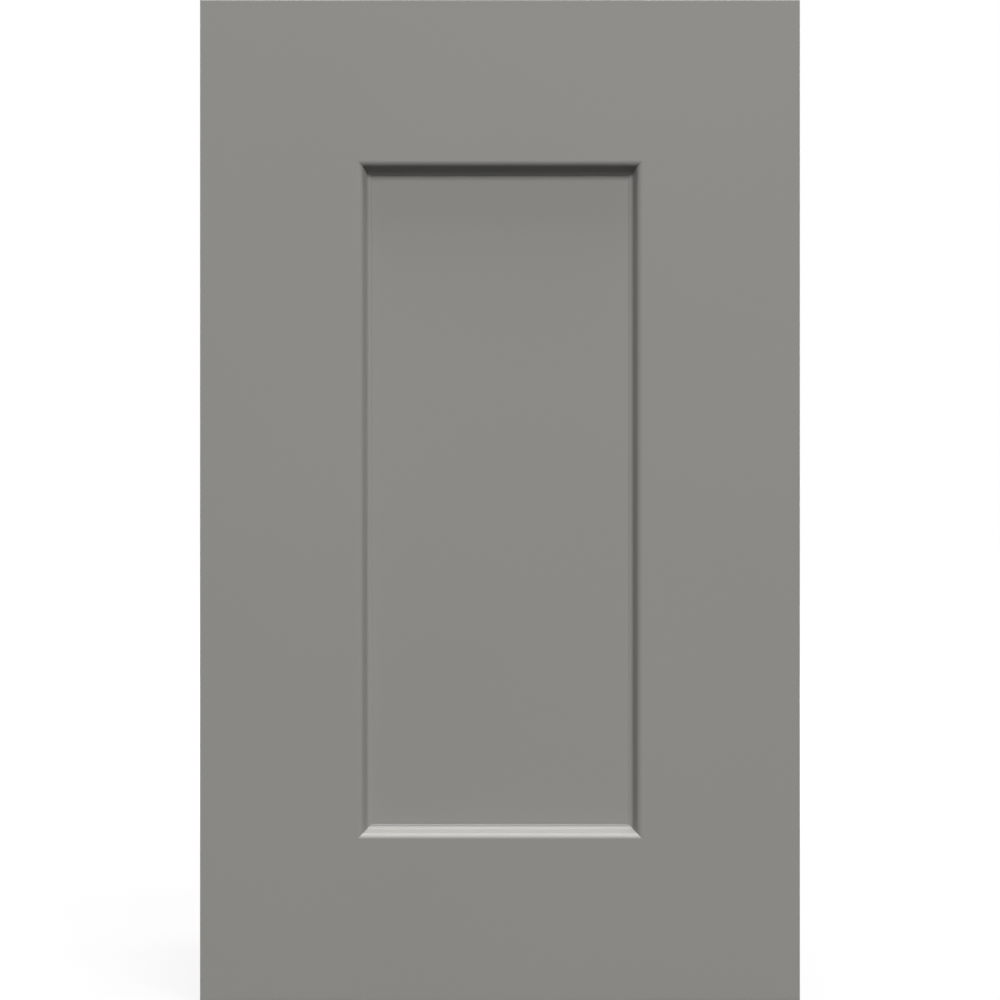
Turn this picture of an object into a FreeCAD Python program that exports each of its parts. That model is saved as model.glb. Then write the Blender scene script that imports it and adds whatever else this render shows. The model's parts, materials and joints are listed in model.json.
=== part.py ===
import FreeCAD, Part
import math
import os
import re
import Sketcher
from FreeCAD import Rotation, Vector

# A small pantry cabinet: a frameless box of melamine-faced board with one framed, overlay door.
# Millimetres. +X is to the right, the front faces -Y and +Z is up. The origin is under the middle
# of the whole cabinet, door included, on the surface that it stands on.

DIMENSIONS = {
    # The box
    "cabinet_width": 300,
    "cabinet_height": 500,
    "carcass_depth": 300,
    "board": 18,
    "edge_band": 1,
    "edge_band_radius": 0.7,
    "back_panel_thickness": 6,
    "back_inset": 18,
    "back_groove": 8,
    "back_edge_clearance": 1,
    "hanging_rail_height": 80,
    "wall_hole_spacing": 160,
    "wall_hole_radius": 2.75,
    # The rows of holes inside the sides
    "system_pitch": 32,
    "front_row_setback": 37,
    "row_spacing": 192,
    "row_hole_radius": 2.5,
    "row_hole_depth": 12,
    # The joints of the box
    "cam_setback": 24,
    "cam_radius": 7.4,
    "cam_bore_radius": 7.5,
    "cam_reach": 4.5,
    "cam_cap_thickness": 1,
    "cam_cap_easing": 0.3,
    "cam_cap_recess": 0.2,
    "cam_slot": 3.6,
    "cam_bolt_radius": 3.4,
    "cam_bolt_bore_radius": 3.75,
    "cam_bolt_neck_radius": 1.8,
    "cam_bolt_head_radius": 3.2,
    "cam_bolt_head_length": 4.5,
    "cam_bolt_thread": 11.5,
    "dowel_radius": 4,
    "dowel_in_side": 12,
    "dowel_in_panel": 18,
    "dowel_end_clearance": 1,
    "rail_dowel_inset": 20,
    # The shelves and their pins
    "shelf_thickness": 18,
    "shelf_side_clearance": 1,
    "shelf_back_clearance": 2,
    "shelf_setback": 20,
    "pin_stem_radius": 2.4,
    "pin_stem_length": 11,
    "pin_plate": 1.5,
    "pin_plate_width": 9,
    "pin_plate_drop": 8,
    "pin_ledge_length": 9,
    "pin_ledge_rise": 2.5,
    # The door
    "door_thickness": 20,
    "door_gap": 3,
    "side_reveal": 1,
    "end_reveal": 1.5,
    "stile_face": 78,
    "rail_face": 80,
    "ogee_round_radius": 3.4,
    "ogee_round_width": 3,
    "ogee_round_depth": 1.8,
    "ogee_flat_width": 1.6,
    "ogee_flat_depth": 3,
    "ogee_hollow_radius": 2.55,
    "ogee_hollow_width": 2.25,
    "ogee_hollow_depth": 1.35,
    "ogee_quirk": 0.3,
    "panel_thickness": 6,
    "panel_groove": 11,
    "panel_tongue": 8,
    "front_easing": 0.4,
    "back_easing": 1.5,
    "spacer_end_clearance": 0.1,
    "side_spacer_offset": 100,
    "end_spacer_offset": 35,
    # The hinges
    "pivot_from_edge": 8.25,
    "pivot_from_back": 9.2,
    "pivot_radius": 1.5,
    "pivot_clearance": 0.1,
    "knuckle_radius": 2.4,
    "arm_half_width": 6,
    "arm_thickness": 2,
    "arm_hook_width": 13,
    "arm_bend_radius": 3,
    "arm_straight_end": 8,
    "arm_slope_end": 20,
    "arm_end": 56,
    "arm_stand_off": 9.3,
    "arm_flange": 1.5,
    "arm_flange_foot": 2.5,
    "cup_bore_radius": 17.5,
    "cup_bore_depth": 13.5,
    "cup_edge_distance": 3,
    "cup_fit": 0.1,
    "cup_wall": 1.2,
    "cup_floor": 1,
    "cup_depth": 13,
    "cup_flange_thickness": 1,
    "cup_flange_half_height": 19,
    "cup_flange_lip": 0.5,
    "cup_wing_half_height": 31,
    "cup_wing_half_width": 7,
    "cup_corner_radius": 3,
    "cup_screw_half_spacing": 24,
    "cup_screw_offset": 6,
    "ear_gap": 0.4,
    "ear_thickness": 1.8,
    "ear_radius": 3,
    "hinge_plate_thickness": 2,
    "hinge_plate_half_height": 24,
    "hinge_plate_half_width": 9,
    "hinge_plate_corner": 4,
    "hinge_block_half_width": 4.2,
    "hinge_block_lead": 1,
    "hinge_block_tail": 2,
    "arm_screw_front": 26,
    "arm_screw_rear": 48,
    # The touch latch
    "latch_width": 18,
    "latch_length": 52,
    "latch_corner": 3,
    "latch_bore_radius": 4.2,
    "latch_bore_depth": 48,
    "latch_ear_thickness": 2.5,
    "latch_ear_half_width": 7,
    "latch_ear_half_height": 23,
    "plunger_radius": 3.9,
    "plunger_rod_length": 36,
    "plunger_head_radius": 5.5,
    "plunger_head_length": 3.5,
    "plunger_travel": 2.5,
    "plunger_stop_clearance": 0.3,
    "magnet_radius": 4,
    "magnet_thickness": 1.5,
    "magnet_gap": 0.2,
    "spring_wire_radius": 0.4,
    "spring_radius": 3.1,
    "spring_turns": 7,
    "strike_radius": 10,
    "strike_thickness": 1.2,
    # The screws
    "euro_screw_radius": 2.5,
    "euro_screw_length": 11.5,
    "euro_head_radius": 4,
    "euro_head_height": 1.8,
    "wood_screw_radius": 1.75,
    "wood_screw_length": 14,
    "wood_head_radius": 3.5,
    "wood_head_height": 1.8,
    "arm_screw_radius": 2,
    "arm_screw_length": 8,
    "arm_screw_clearance": 0.3,
    "arm_head_radius": 3.5,
    "arm_head_height": 2,
    "screw_slot_width": 0.9,
    "screw_slot_depth": 1,
    "strike_screw_radius": 1.5,
    "strike_screw_length": 13,
}

# Places that follow from the driving dimensions, each a formula in their names
PLACES = {
    "half_width": "cabinet_width / 2",
    "side_inner": "half_width - board",
    "total_depth": "carcass_depth + door_gap + door_thickness",
    "door_front": "-total_depth / 2",
    "door_back": "door_front + door_thickness",
    "carcass_front": "door_back + door_gap",
    "board_front": "carcass_front + edge_band",
    "carcass_back": "total_depth / 2",
    "rail_front": "carcass_back - back_inset",
    "back_panel_front": "rail_front - back_panel_thickness",
    "rail_middle": "rail_front + back_inset / 2",
    "top_underside": "cabinet_height - board",
    "middle": "cabinet_height / 2",
    "back_reach": "back_groove - back_edge_clearance",
    "upper_rail_low": "top_underside - hanging_rail_height",
    "lower_rail_top": "board + hanging_rail_height",
    "front_row": "carcass_front + front_row_setback",
    "rear_row": "front_row + row_spacing",
    "front_dowel": "front_row + system_pitch",
    "rear_dowel": "rear_row - system_pitch",
    "cam_bore_depth": "board / 2 + cam_reach",
    "cam_cap_seat": "-cam_cap_recess - cam_cap_thickness",
    "door_side": "half_width - side_reveal",
    "door_low": "end_reveal",
    "door_high": "cabinet_height - end_reveal",
    "ogee_turn": "door_front + ogee_round_depth",
    "ogee_foot": "ogee_turn + ogee_flat_depth",
    "ogee_end": "ogee_foot + ogee_hollow_depth",
    "panel_front": "ogee_end + ogee_quirk",
    "panel_rear": "panel_front + panel_thickness",
    "stile_shoulder": "door_side - stile_face",
    "stile_turn": "stile_shoulder - ogee_round_width",
    "stile_foot": "stile_turn - ogee_flat_width",
    "stile_sight": "stile_foot - ogee_hollow_width",
    "stile_groove": "stile_sight + panel_groove",
    "rail_shoulder": "door_high - rail_face",
    "rail_turn": "rail_shoulder - ogee_round_width",
    "rail_foot": "rail_turn - ogee_flat_width",
    "rail_sight": "rail_foot - ogee_hollow_width",
    "rail_groove": "rail_sight + panel_groove",
    "panel_half_width": "stile_sight + panel_tongue",
    "panel_high": "rail_sight + panel_tongue",
    "panel_low": "cabinet_height - panel_high",
    "spacer_radius": "(panel_groove - panel_tongue) / 2",
    "pivot_x": "pivot_from_edge - door_side",
    "pivot_y": "door_back - pivot_from_back",
    "cup_x": "cup_edge_distance + cup_bore_radius - door_side",
    "cup_radius": "cup_bore_radius - cup_fit",
    "cup_inner_radius": "cup_radius - cup_wall",
    "cup_flange_left": "cup_x - cup_bore_radius + cup_flange_lip",
    "cup_flange_right": "cup_x + cup_bore_radius + cup_flange_lip",
    "cup_screw_x": "cup_x + cup_screw_offset",
    "cup_floor_y": "door_back - cup_depth + cup_floor",
    "cup_face": "door_back + cup_flange_thickness",
    "arm_hook_inside": "pivot_x + arm_hook_width",
    "arm_hook_outside": "arm_hook_inside + arm_thickness",
    "arm_web_inside": "arm_stand_off - side_inner",
    "arm_web_outside": "arm_web_inside + arm_thickness",
    "hook_low": "pivot_y - knuckle_radius",
    "hook_high": "hook_low + arm_thickness",
    "ear_low": "arm_half_width + ear_gap",
    "ear_high": "ear_low + ear_thickness",
    "latch_x": "side_inner - latch_width / 2",
    "block_front": "carcass_front + arm_slope_end + hinge_block_lead",
    "block_rear": "carcass_front + arm_end - hinge_block_tail",
    "strike_face": "door_back + strike_thickness",
    "strike_head_radius": "strike_screw_radius + strike_thickness",
    "plunger_front": "strike_face + magnet_gap",
    "plunger_shoulder": "plunger_front + plunger_head_length",
    "plunger_end": "plunger_shoulder + plunger_rod_length",
    "latch_front": "plunger_shoulder + plunger_travel + plunger_stop_clearance",
    "latch_bore_end": "latch_front + latch_bore_depth",
    "spring_height": "latch_bore_end - plunger_end - 2 * spring_wire_radius",
    "shelf_front": "carcass_front + shelf_setback",
    "shelf_rear": "back_panel_front - shelf_back_clearance",
    "shelf_half_width": "side_inner - shelf_side_clearance",
    "lower_pin_height": "middle - 2.5 * system_pitch",
    "upper_pin_height": "middle + 2.5 * system_pitch",
    "lower_hinge_height": "middle - 5 * system_pitch",
    "upper_hinge_height": "middle + 5 * system_pitch",
}

PLANES = {"X": "YZ_Plane", "Y": "XZ_Plane", "Z": "XY_Plane"}
DIRECTIONS = {"X": Vector(1, 0, 0), "Y": Vector(0, 1, 0), "Z": Vector(0, 0, 1)}
UP = Vector(0, 0, 1)

doc = FreeCAD.newDocument("pantry_cabinet")
sheet = doc.addObject("Spreadsheet::Sheet", "sizes")
for row, (alias, number) in enumerate(DIMENSIONS.items(), start=1):
    sheet.set(f"A{row}", alias)
    sheet.set(f"B{row}", str(number))
    sheet.setAlias(f"B{row}", alias)
doc.recompute()

sub_parts = []
cuts = []


def formula(text):
    """Turns a formula in plain names into one that reads the sheet."""
    def swap(match):
        word = match.group(0)
        if word in PLACES:
            return f"({formula(PLACES[word])})"
        if word in DIMENSIONS:
            return f"sizes.{word}"
        raise ValueError(f"no dimension is called {word}")
    return re.sub(r"[a-z_]+", swap, str(text))


def value(text):
    """The number that a formula gives now."""
    return float(sheet.evalExpression(f"({formula(text)}) * 1.0"))


def bind(thing, target, text):
    """Ties a property to the sheet."""
    thing.setExpression(target, formula(text))


def place(thing, x="0", y="0", z="0"):
    """Ties where a thing stands to the sheet."""
    bind(thing, "Placement.Base.x", x)
    bind(thing, "Placement.Base.y", y)
    bind(thing, "Placement.Base.z", z)


def keep(thing, label):
    """Names a finished sub-part, which is written to a file of that name."""
    thing.Label = label
    sub_parts.append(thing)
    return thing


# Part primitives and booleans


def block(name, x, y, z):
    """A box between pairs of places along X, Y and Z."""
    thing = doc.addObject("Part::Box", name)
    for size, (low, high) in zip(("Length", "Width", "Height"), (x, y, z)):
        bind(thing, size, f"({high}) - ({low})")
    place(thing, x[0], y[0], z[0])
    return thing


def rod(name, axis, centre, radius, low, high):
    """A cylinder along an axis: its centre is given in the other two axes, in X, Y, Z order."""
    thing = doc.addObject("Part::Cylinder", name)
    thing.Placement.Rotation = Rotation(UP, DIRECTIONS[axis])
    bind(thing, "Radius", radius)
    bind(thing, "Height", f"({high}) - ({low})")
    start = list(centre)
    start.insert("XYZ".index(axis), low)
    place(thing, *start)
    return thing


def group(name, things):
    """Separate solids kept together as one."""
    thing = doc.addObject("Part::Compound", name)
    thing.Links = things
    return thing


def fuse(name, things):
    thing = doc.addObject("Part::MultiFuse", name)
    thing.Shapes = things
    return thing


def cut(name, base, tools):
    """Takes tools that stand clear of each other from a solid."""
    thing = doc.addObject("Part::Cut", name)
    thing.Base = base
    thing.Tool = tools[0] if len(tools) == 1 else group(f"{name}_tools", tools)
    cuts.append((thing, base))
    return thing


def mirror(name, source, axis, level):
    """The mirror image of a solid in a plane square to an axis."""
    thing = doc.addObject("Part::Mirroring", name)
    thing.Source = source
    thing.Normal = DIRECTIONS[axis]
    bind(thing, f"Base.{axis.lower()}", level)
    return thing


def copy_at(name, source, x, y, z, turn=Rotation()):
    """One more of the same solid, turned and moved to its place."""
    thing = doc.addObject("App::Link", name)
    thing.LinkedObject = source
    thing.Placement.Rotation = turn
    place(thing, x, y, z)
    return thing


# Bodies with sketches. A sketch reads (x, y) square to Z, (x, z) square to Y and (y, z) square to X


def new_body(name):
    return doc.addObject("PartDesign::Body", name)


def new_sketch(body, axis, level):
    """A sketch square to an axis, at a level along it."""
    sketch = body.newObject("Sketcher::SketchObject", f"{body.Name}_sketch")
    plane = next(item for item in body.Origin.OriginFeatures if item.Role == PLANES[axis])
    sketch.AttachmentSupport = [(plane, "")]
    sketch.MapMode = "FlatFace"
    sign = -1 if axis == "Y" else 1
    bind(sketch, "AttachmentOffset.Base.z", f"{sign} * ({level})")
    return sketch


def fix_point(sketch, edge, point, corner):
    """Ties one point of a sketch to its two formulas."""
    for kind, text in zip(("DistanceX", "DistanceY"), corner):
        number = sketch.addConstraint(Sketcher.Constraint(kind, -1, 1, edge, point, value(text)))
        sketch.setExpression(f"Constraints[{number}]", formula(text))


def fix_radius(sketch, edge, radius):
    number = sketch.addConstraint(Sketcher.Constraint("Radius", edge, abs(value(radius))))
    sketch.setExpression(f"Constraints[{number}]", formula(radius.lstrip("-")))


def arc_between(begin, finish, radius):
    """An arc that turns left from one point to the next."""
    chord = finish - begin
    half = chord.Length / 2
    rise = radius - math.sqrt(radius ** 2 - half ** 2)
    outward = Vector(chord.y, -chord.x, 0).normalize()
    return Part.Arc(begin, (begin + finish) / 2 + outward * rise, finish)


def draw(sketch, outline):
    """A closed outline, anticlockwise. A corner is (x, y), or (x, y, radius) where an arc ends.

    An arc turns left, or right where its radius has a minus sign. A sketch keeps every arc turning
    left, so one that turns right is drawn from its far end.
    """
    points = [Vector(value(corner[0]), value(corner[1]), 0) for corner in outline]
    count = len(outline)
    ends = []
    for index, begin in enumerate(points):
        following = (index + 1) % count
        arrival = outline[following]
        radius = value(arrival[2]) if len(arrival) == 3 else 0
        if radius > 0:
            edge = arc_between(begin, points[following], radius)
        elif radius < 0:
            edge = arc_between(points[following], begin, -radius)
        else:
            edge = Part.LineSegment(begin, points[following])
        sketch.addGeometry(edge)
        ends.append((2, 1) if radius < 0 else (1, 2))
    for index in range(count):
        following = (index + 1) % count
        sketch.addConstraint(Sketcher.Constraint("Coincident", index, ends[index][1],
                                                 following, ends[following][0]))
        fix_point(sketch, index, ends[index][0], outline[index][:2])
        if len(outline[following]) == 3:
            fix_radius(sketch, index, outline[following][2])


def rectangle(across, along):
    return [
        (across[0], along[0]),
        (across[1], along[0]),
        (across[1], along[1]),
        (across[0], along[1]),
    ]


def rounded(across, along, radius):
    """A rectangle with round corners."""
    left, right = across
    low, high = along
    return [
        (f"{left} + {radius}", low, radius),
        (f"{right} - {radius}", low),
        (right, f"{low} + {radius}", radius),
        (right, f"{high} - {radius}"),
        (f"{right} - {radius}", high, radius),
        (f"{left} + {radius}", high),
        (left, f"{high} - {radius}", radius),
        (left, f"{low} + {radius}"),
    ]


def pad(body, axis, outline, low, high):
    """Fills an outline between two levels along an axis."""
    sketch = new_sketch(body, axis, high if axis == "Y" else low)
    draw(sketch, outline)
    feature = body.newObject("PartDesign::Pad", f"{body.Name}_pad")
    feature.Profile = sketch
    bind(feature, "Length", f"({high}) - ({low})")
    return body


def sink(body, sketch, axis, depth):
    """Cuts a sketch into its body, towards the axis's positive end."""
    base = body.Tip
    feature = body.newObject("PartDesign::Pocket", f"{body.Name}_pocket")
    feature.Profile = sketch
    feature.Reversed = axis != "Y"
    bind(feature, "Length", depth)
    cuts.append((feature, base))


def pocket(body, axis, outline, low, high):
    """Cuts an outline out between two levels along an axis."""
    sketch = new_sketch(body, axis, low)
    draw(sketch, outline)
    sink(body, sketch, axis, f"({high}) - ({low})")


def drill(body, axis, centres, radius, low, high):
    """Cuts round holes of one size between two levels along an axis."""
    sketch = new_sketch(body, axis, low)
    for number, centre in enumerate(centres):
        point = Vector(value(centre[0]), value(centre[1]), 0)
        sketch.addGeometry(Part.Circle(point, UP, value(radius)))
        fix_point(sketch, number, 3, centre)
        if number:
            sketch.addConstraint(Sketcher.Constraint("Equal", 0, number))
    fix_radius(sketch, 0, radius)
    sink(body, sketch, axis, f"({high}) - ({low})")


def turned(name, outline):
    """A solid of revolution about Z, from an outline of (distance from the axis, height)."""
    body = new_body(name)
    sketch = new_sketch(body, "Y", "0")
    draw(sketch, outline)
    feature = body.newObject("PartDesign::Revolution", f"{name}_turn")
    feature.Profile = sketch
    feature.ReferenceAxis = (sketch, ["V_Axis"])
    feature.Angle = 360
    return body


# The box


def row_heights(steps):
    """Hole heights above and below the middle, half a pitch off it."""
    offsets = [f"{step + 0.5} * system_pitch" for step in range(steps)]
    return [f"middle {sign} {offset}" for sign in "-+" for offset in offsets]


def joint_heights():
    return ("board / 2", "cabinet_height - board / 2")


def rail_dowel_heights():
    return (
        "board + rail_dowel_inset",
        "lower_rail_top - rail_dowel_inset",
        "upper_rail_low + rail_dowel_inset",
        "top_underside - rail_dowel_inset",
    )


def dowel_places():
    """The (y, z) of every dowel, in the top and bottom panels and in the hanging rails."""
    places = [(depth, height) for depth in ("front_dowel", "rear_dowel") for height in joint_heights()]
    return places + [("rail_middle", height) for height in rail_dowel_heights()]


def side_panel():
    """The left side panel, which the right one mirrors."""
    side = new_body("side_panel")
    pad(side, "Z", rectangle(("-half_width", "-side_inner"), ("board_front", "carcass_back")),
        "0", "cabinet_height")
    groove = rectangle(("back_panel_front", "rail_front"),
                       ("board - back_groove", "top_underside + back_groove"))
    pocket(side, "X", groove, "-side_inner - back_groove", "-side_inner")
    row_holes = [("front_row", height) for height in row_heights(6)]
    row_holes += [("rear_row", height) for height in row_heights(4)]
    drill(side, "X", row_holes, "row_hole_radius", "-side_inner - row_hole_depth", "-side_inner")
    bolt_holes = [(depth, height) for depth in ("front_row", "rear_row") for height in joint_heights()]
    drill(side, "X", bolt_holes, "row_hole_radius", "-side_inner - cam_bolt_thread", "-side_inner")
    drill(side, "X", dowel_places(), "dowel_radius",
          "-side_inner - dowel_in_side - dowel_end_clearance", "-side_inner")
    return side


def end_panel():
    """The bottom panel, which the top one mirrors: cam bores open on its outer face."""
    panel = new_body("end_panel")
    pad(panel, "Z", rectangle(("-side_inner", "side_inner"), ("board_front", "carcass_back")),
        "0", "board")
    groove = rectangle(("-side_inner", "side_inner"), ("back_panel_front", "rail_front"))
    pocket(panel, "Z", groove, "board - back_groove", "board")
    cam_bores = [(f"{sign} * (side_inner - cam_setback)", depth)
                 for sign in (-1, 1) for depth in ("front_row", "rear_row")]
    drill(panel, "Z", cam_bores, "cam_bore_radius", "0", "cam_bore_depth")
    bolt_bores = [(depth, "board / 2") for depth in ("front_row", "rear_row")]
    dowel_bores = [(depth, "board / 2") for depth in ("front_dowel", "rear_dowel")]
    dowel_reach = "dowel_in_panel + dowel_end_clearance"
    drill(panel, "X", bolt_bores, "cam_bolt_bore_radius", "-side_inner", "cam_setback - side_inner")
    drill(panel, "X", bolt_bores, "cam_bolt_bore_radius", "side_inner - cam_setback", "side_inner")
    drill(panel, "X", dowel_bores, "dowel_radius", "-side_inner", f"{dowel_reach} - side_inner")
    drill(panel, "X", dowel_bores, "dowel_radius", f"side_inner - {dowel_reach.replace('+', '-')}",
          "side_inner")
    return panel


def wall_holes(height):
    return [(f"{sign} * wall_hole_spacing / 2", height) for sign in (-1, 1)]


def hanging_rail(name, low, high):
    """A rail behind the back panel, which the wall screws go through."""
    rail = new_body(name)
    pad(rail, "Z", rectangle(("-side_inner", "side_inner"), ("rail_front", "carcass_back")), low, high)
    drill(rail, "Y", wall_holes(f"({low} + {high}) / 2"), "wall_hole_radius",
          "rail_front", "carcass_back")
    heights = [f"{low} + rail_dowel_inset", f"{high} - rail_dowel_inset"]
    bores = [("rail_middle", height) for height in heights]
    drill(rail, "X", bores, "dowel_radius", "-side_inner",
          "dowel_in_panel + dowel_end_clearance - side_inner")
    drill(rail, "X", bores, "dowel_radius",
          "side_inner - dowel_in_panel - dowel_end_clearance", "side_inner")
    keep(rail, name)


def edge_bands():
    """Thin strips on the front edges of the boards, with rounded outer corners."""
    def strip(left, right):
        return [
            (f"{left} + edge_band_radius", "carcass_front", "edge_band_radius"),
            (f"{right} - edge_band_radius", "carcass_front"),
            (right, "carcass_front + edge_band_radius", "edge_band_radius"),
            (right, "board_front"),
            (left, "board_front"),
            (left, "carcass_front + edge_band_radius"),
        ]

    def flat_strip(low, high):
        return [
            ("board_front", low),
            ("board_front", high),
            ("carcass_front + edge_band_radius", high),
            ("carcass_front", f"{high} - edge_band_radius", "edge_band_radius"),
            ("carcass_front", f"{low} + edge_band_radius"),
            ("carcass_front + edge_band_radius", low, "edge_band_radius"),
        ]

    upright = pad(new_body("edge_band_left"), "Z", strip("-half_width", "-side_inner"),
                  "0", "cabinet_height")
    keep(upright, "left_edge_band")
    keep(mirror("edge_band_right", upright, "X", "0"), "right_edge_band")
    level = pad(new_body("edge_band_bottom"), "X", flat_strip("0", "board"), "-side_inner", "side_inner")
    keep(level, "bottom_edge_band")
    keep(mirror("edge_band_top", level, "Z", "middle"), "top_edge_band")


def joint_fittings():
    """Cam locks, their bolts and caps, and the dowels that join the boards."""
    shank = "cam_setback - cam_bolt_head_length / 2"
    bolt = turned("cam_bolt", [
        ("0", "-cam_bolt_thread"),
        ("row_hole_radius", "-cam_bolt_thread"),
        ("row_hole_radius", "0"),
        ("cam_bolt_radius", "0"),
        ("cam_bolt_radius", "cam_setback - cam_radius"),
        ("cam_bolt_neck_radius", "cam_setback - cam_radius"),
        ("cam_bolt_neck_radius", shank),
        ("cam_bolt_head_radius", shank),
        ("cam_bolt_head_radius", f"{shank} + cam_bolt_head_length"),
        ("0", f"{shank} + cam_bolt_head_length"),
    ])
    core = rod("cam_core", "Z", ("0", "0"), "cam_radius", "-cam_bore_depth", "cam_cap_seat")
    slot = block("cam_slot_tool", ("-cam_slot", "cam_bore_radius"), ("-cam_slot", "cam_slot"),
                 ("-board / 2 - cam_slot", "cam_slot - board / 2"))
    lock = cut("cam_lock", core, [slot])
    cap = turned("cam_cap", [
        ("0", "cam_cap_seat"),
        ("cam_radius", "cam_cap_seat"),
        ("cam_radius", "-cam_cap_recess - cam_cap_easing"),
        ("cam_radius - cam_cap_easing", "-cam_cap_recess"),
        ("0", "-cam_cap_recess"),
    ])
    bolts, locks, caps = [], [], []
    for side, sign in (("left", -1), ("right", 1)):
        for end, up in (("bottom", -1), ("top", 1)):
            outer = "cabinet_height" if up == 1 else "0"
            height = joint_heights()[0 if up == -1 else 1]
            flip = Rotation(Vector(1, 0, 0), 90 - 90 * up)
            face = Rotation(UP, 90 - 90 * sign)
            for place_name, depth in (("front", "front_row"), ("rear", "rear_row")):
                tag = f"{side}_{end}_{place_name}"
                centre = f"{sign} * (side_inner - cam_setback)"
                inward = Rotation(UP, Vector(-sign, 0, 0))
                bolts.append(copy_at(f"bolt_{tag}", bolt, f"{sign} * side_inner", depth, height, inward))
                locks.append(copy_at(f"lock_{tag}", lock, centre, depth, outer, face * flip))
                caps.append(copy_at(f"cap_{tag}", cap, centre, depth, outer, face * flip))
    keep(group("cam_bolt_group", bolts), "cam_bolts")
    keep(group("cam_lock_group", locks), "cam_locks")
    keep(group("cam_cap_group", caps), "cam_caps")
    dowels = []
    for number, centre in enumerate(dowel_places()):
        dowels.append(rod(f"dowel_left_{number}", "X", centre, "dowel_radius",
                          "-side_inner - dowel_in_side", "dowel_in_panel - side_inner"))
        dowels.append(rod(f"dowel_right_{number}", "X", centre, "dowel_radius",
                          "side_inner - dowel_in_panel", "side_inner + dowel_in_side"))
    keep(group("dowel_group", dowels), "dowels")


def box():
    left = keep(side_panel(), "left_side_panel")
    keep(mirror("side_panel_mirror", left, "X", "0"), "right_side_panel")
    bottom = keep(end_panel(), "bottom_panel")
    keep(mirror("end_panel_mirror", bottom, "Z", "middle"), "top_panel")
    back = new_body("back")
    width = ("-side_inner - back_reach", "side_inner + back_reach")
    height = ("board - back_reach", "top_underside + back_reach")
    pad(back, "Y", rectangle(width, height), "back_panel_front", "rail_front")
    holes = wall_holes("(board + lower_rail_top) / 2") + wall_holes("(upper_rail_low + top_underside) / 2")
    drill(back, "Y", holes, "wall_hole_radius", "back_panel_front", "rail_front")
    keep(back, "back_panel")
    hanging_rail("lower_hanging_rail", "board", "lower_rail_top")
    hanging_rail("upper_hanging_rail", "upper_rail_low", "top_underside")
    edge_bands()
    joint_fittings()


# The shelves


def shelf_pin():
    """An L-shaped pin: a stem for the side panel's hole, a plate and a ledge."""
    half = "pin_plate_width / 2"
    stem = rod("pin_stem", "X", ("0", "0"), "pin_stem_radius", "-pin_stem_length", "pin_plate")
    outline = [
        ("0", "-pin_plate_drop"),
        ("pin_plate", "-pin_plate_drop"),
        ("pin_plate", "pin_ledge_rise - 3 * pin_plate"),
        ("3 * pin_plate", "pin_ledge_rise - pin_plate"),
        ("pin_ledge_length", "pin_ledge_rise - pin_plate"),
        ("pin_ledge_length", "pin_ledge_rise"),
        ("0", "pin_ledge_rise"),
    ]
    bracket = pad(new_body("pin_bracket"), "Y", outline, f"-{half}", half)
    return fuse("shelf_pin", [stem, bracket])


def shelf(name, pin, pin_height):
    """A loose shelf with an edge band, and the four pins that it rests on."""
    underside = f"{pin_height} + pin_ledge_rise"
    upper_face = f"{underside} + shelf_thickness"
    width = ("-shelf_half_width", "shelf_half_width")
    level = new_body(f"{name}_board")
    pad(level, "Z", rectangle(width, ("shelf_front + edge_band", "shelf_rear")), underside, upper_face)
    keep(level, f"{name}_shelf")
    band = new_body(f"{name}_band")
    pad(band, "Z", rectangle(width, ("shelf_front", "shelf_front + edge_band")), underside, upper_face)
    keep(band, f"{name}_shelf_edge_band")
    pins = []
    for row in ("front_row", "rear_row"):
        pins.append(copy_at(f"{name}_pin_left_{row}", pin, "-side_inner", row, pin_height))
        pins.append(copy_at(f"{name}_pin_right_{row}", pin, "side_inner", row, pin_height,
                            Rotation(UP, 180)))
    keep(group(f"{name}_pin_group", pins), f"{name}_shelf_pins")


# The screws: the head's seat is at the origin, the head above it and the shank below


def pan_screw(kind, radius, length):
    """A screw with a domed head and a crossed recess."""
    head_radius = f"{kind}_head_radius"
    head_height = f"{kind}_head_height"
    rim = f"{head_height} / 3"
    blank = turned(f"{kind}_screw_blank", [
        ("0", f"-({length})"),
        (f"{radius} / 2", f"-({length})"),
        (radius, f"2 * {radius} - {length}"),
        (radius, "0"),
        (head_radius, "0"),
        (head_radius, rim),
        (f"{head_radius} * 0.7", head_height),
        ("0", head_height),
    ])
    arm = f"{head_radius} * 0.55"
    width = ("-screw_slot_width / 2", "screw_slot_width / 2")
    depth = (f"{head_height} - screw_slot_depth", f"{head_height} + screw_slot_depth")
    cross = fuse(f"{kind}_screw_cross", [
        block(f"{kind}_screw_slot", (f"-{arm}", arm), width, depth),
        block(f"{kind}_screw_cross_slot", width, (f"-{arm}", arm), depth),
    ])
    return cut(f"{kind}_screw", blank, [cross])


# The hinges: a cup sunk in the door and an arm on the side panel, with one pin between them


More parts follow.
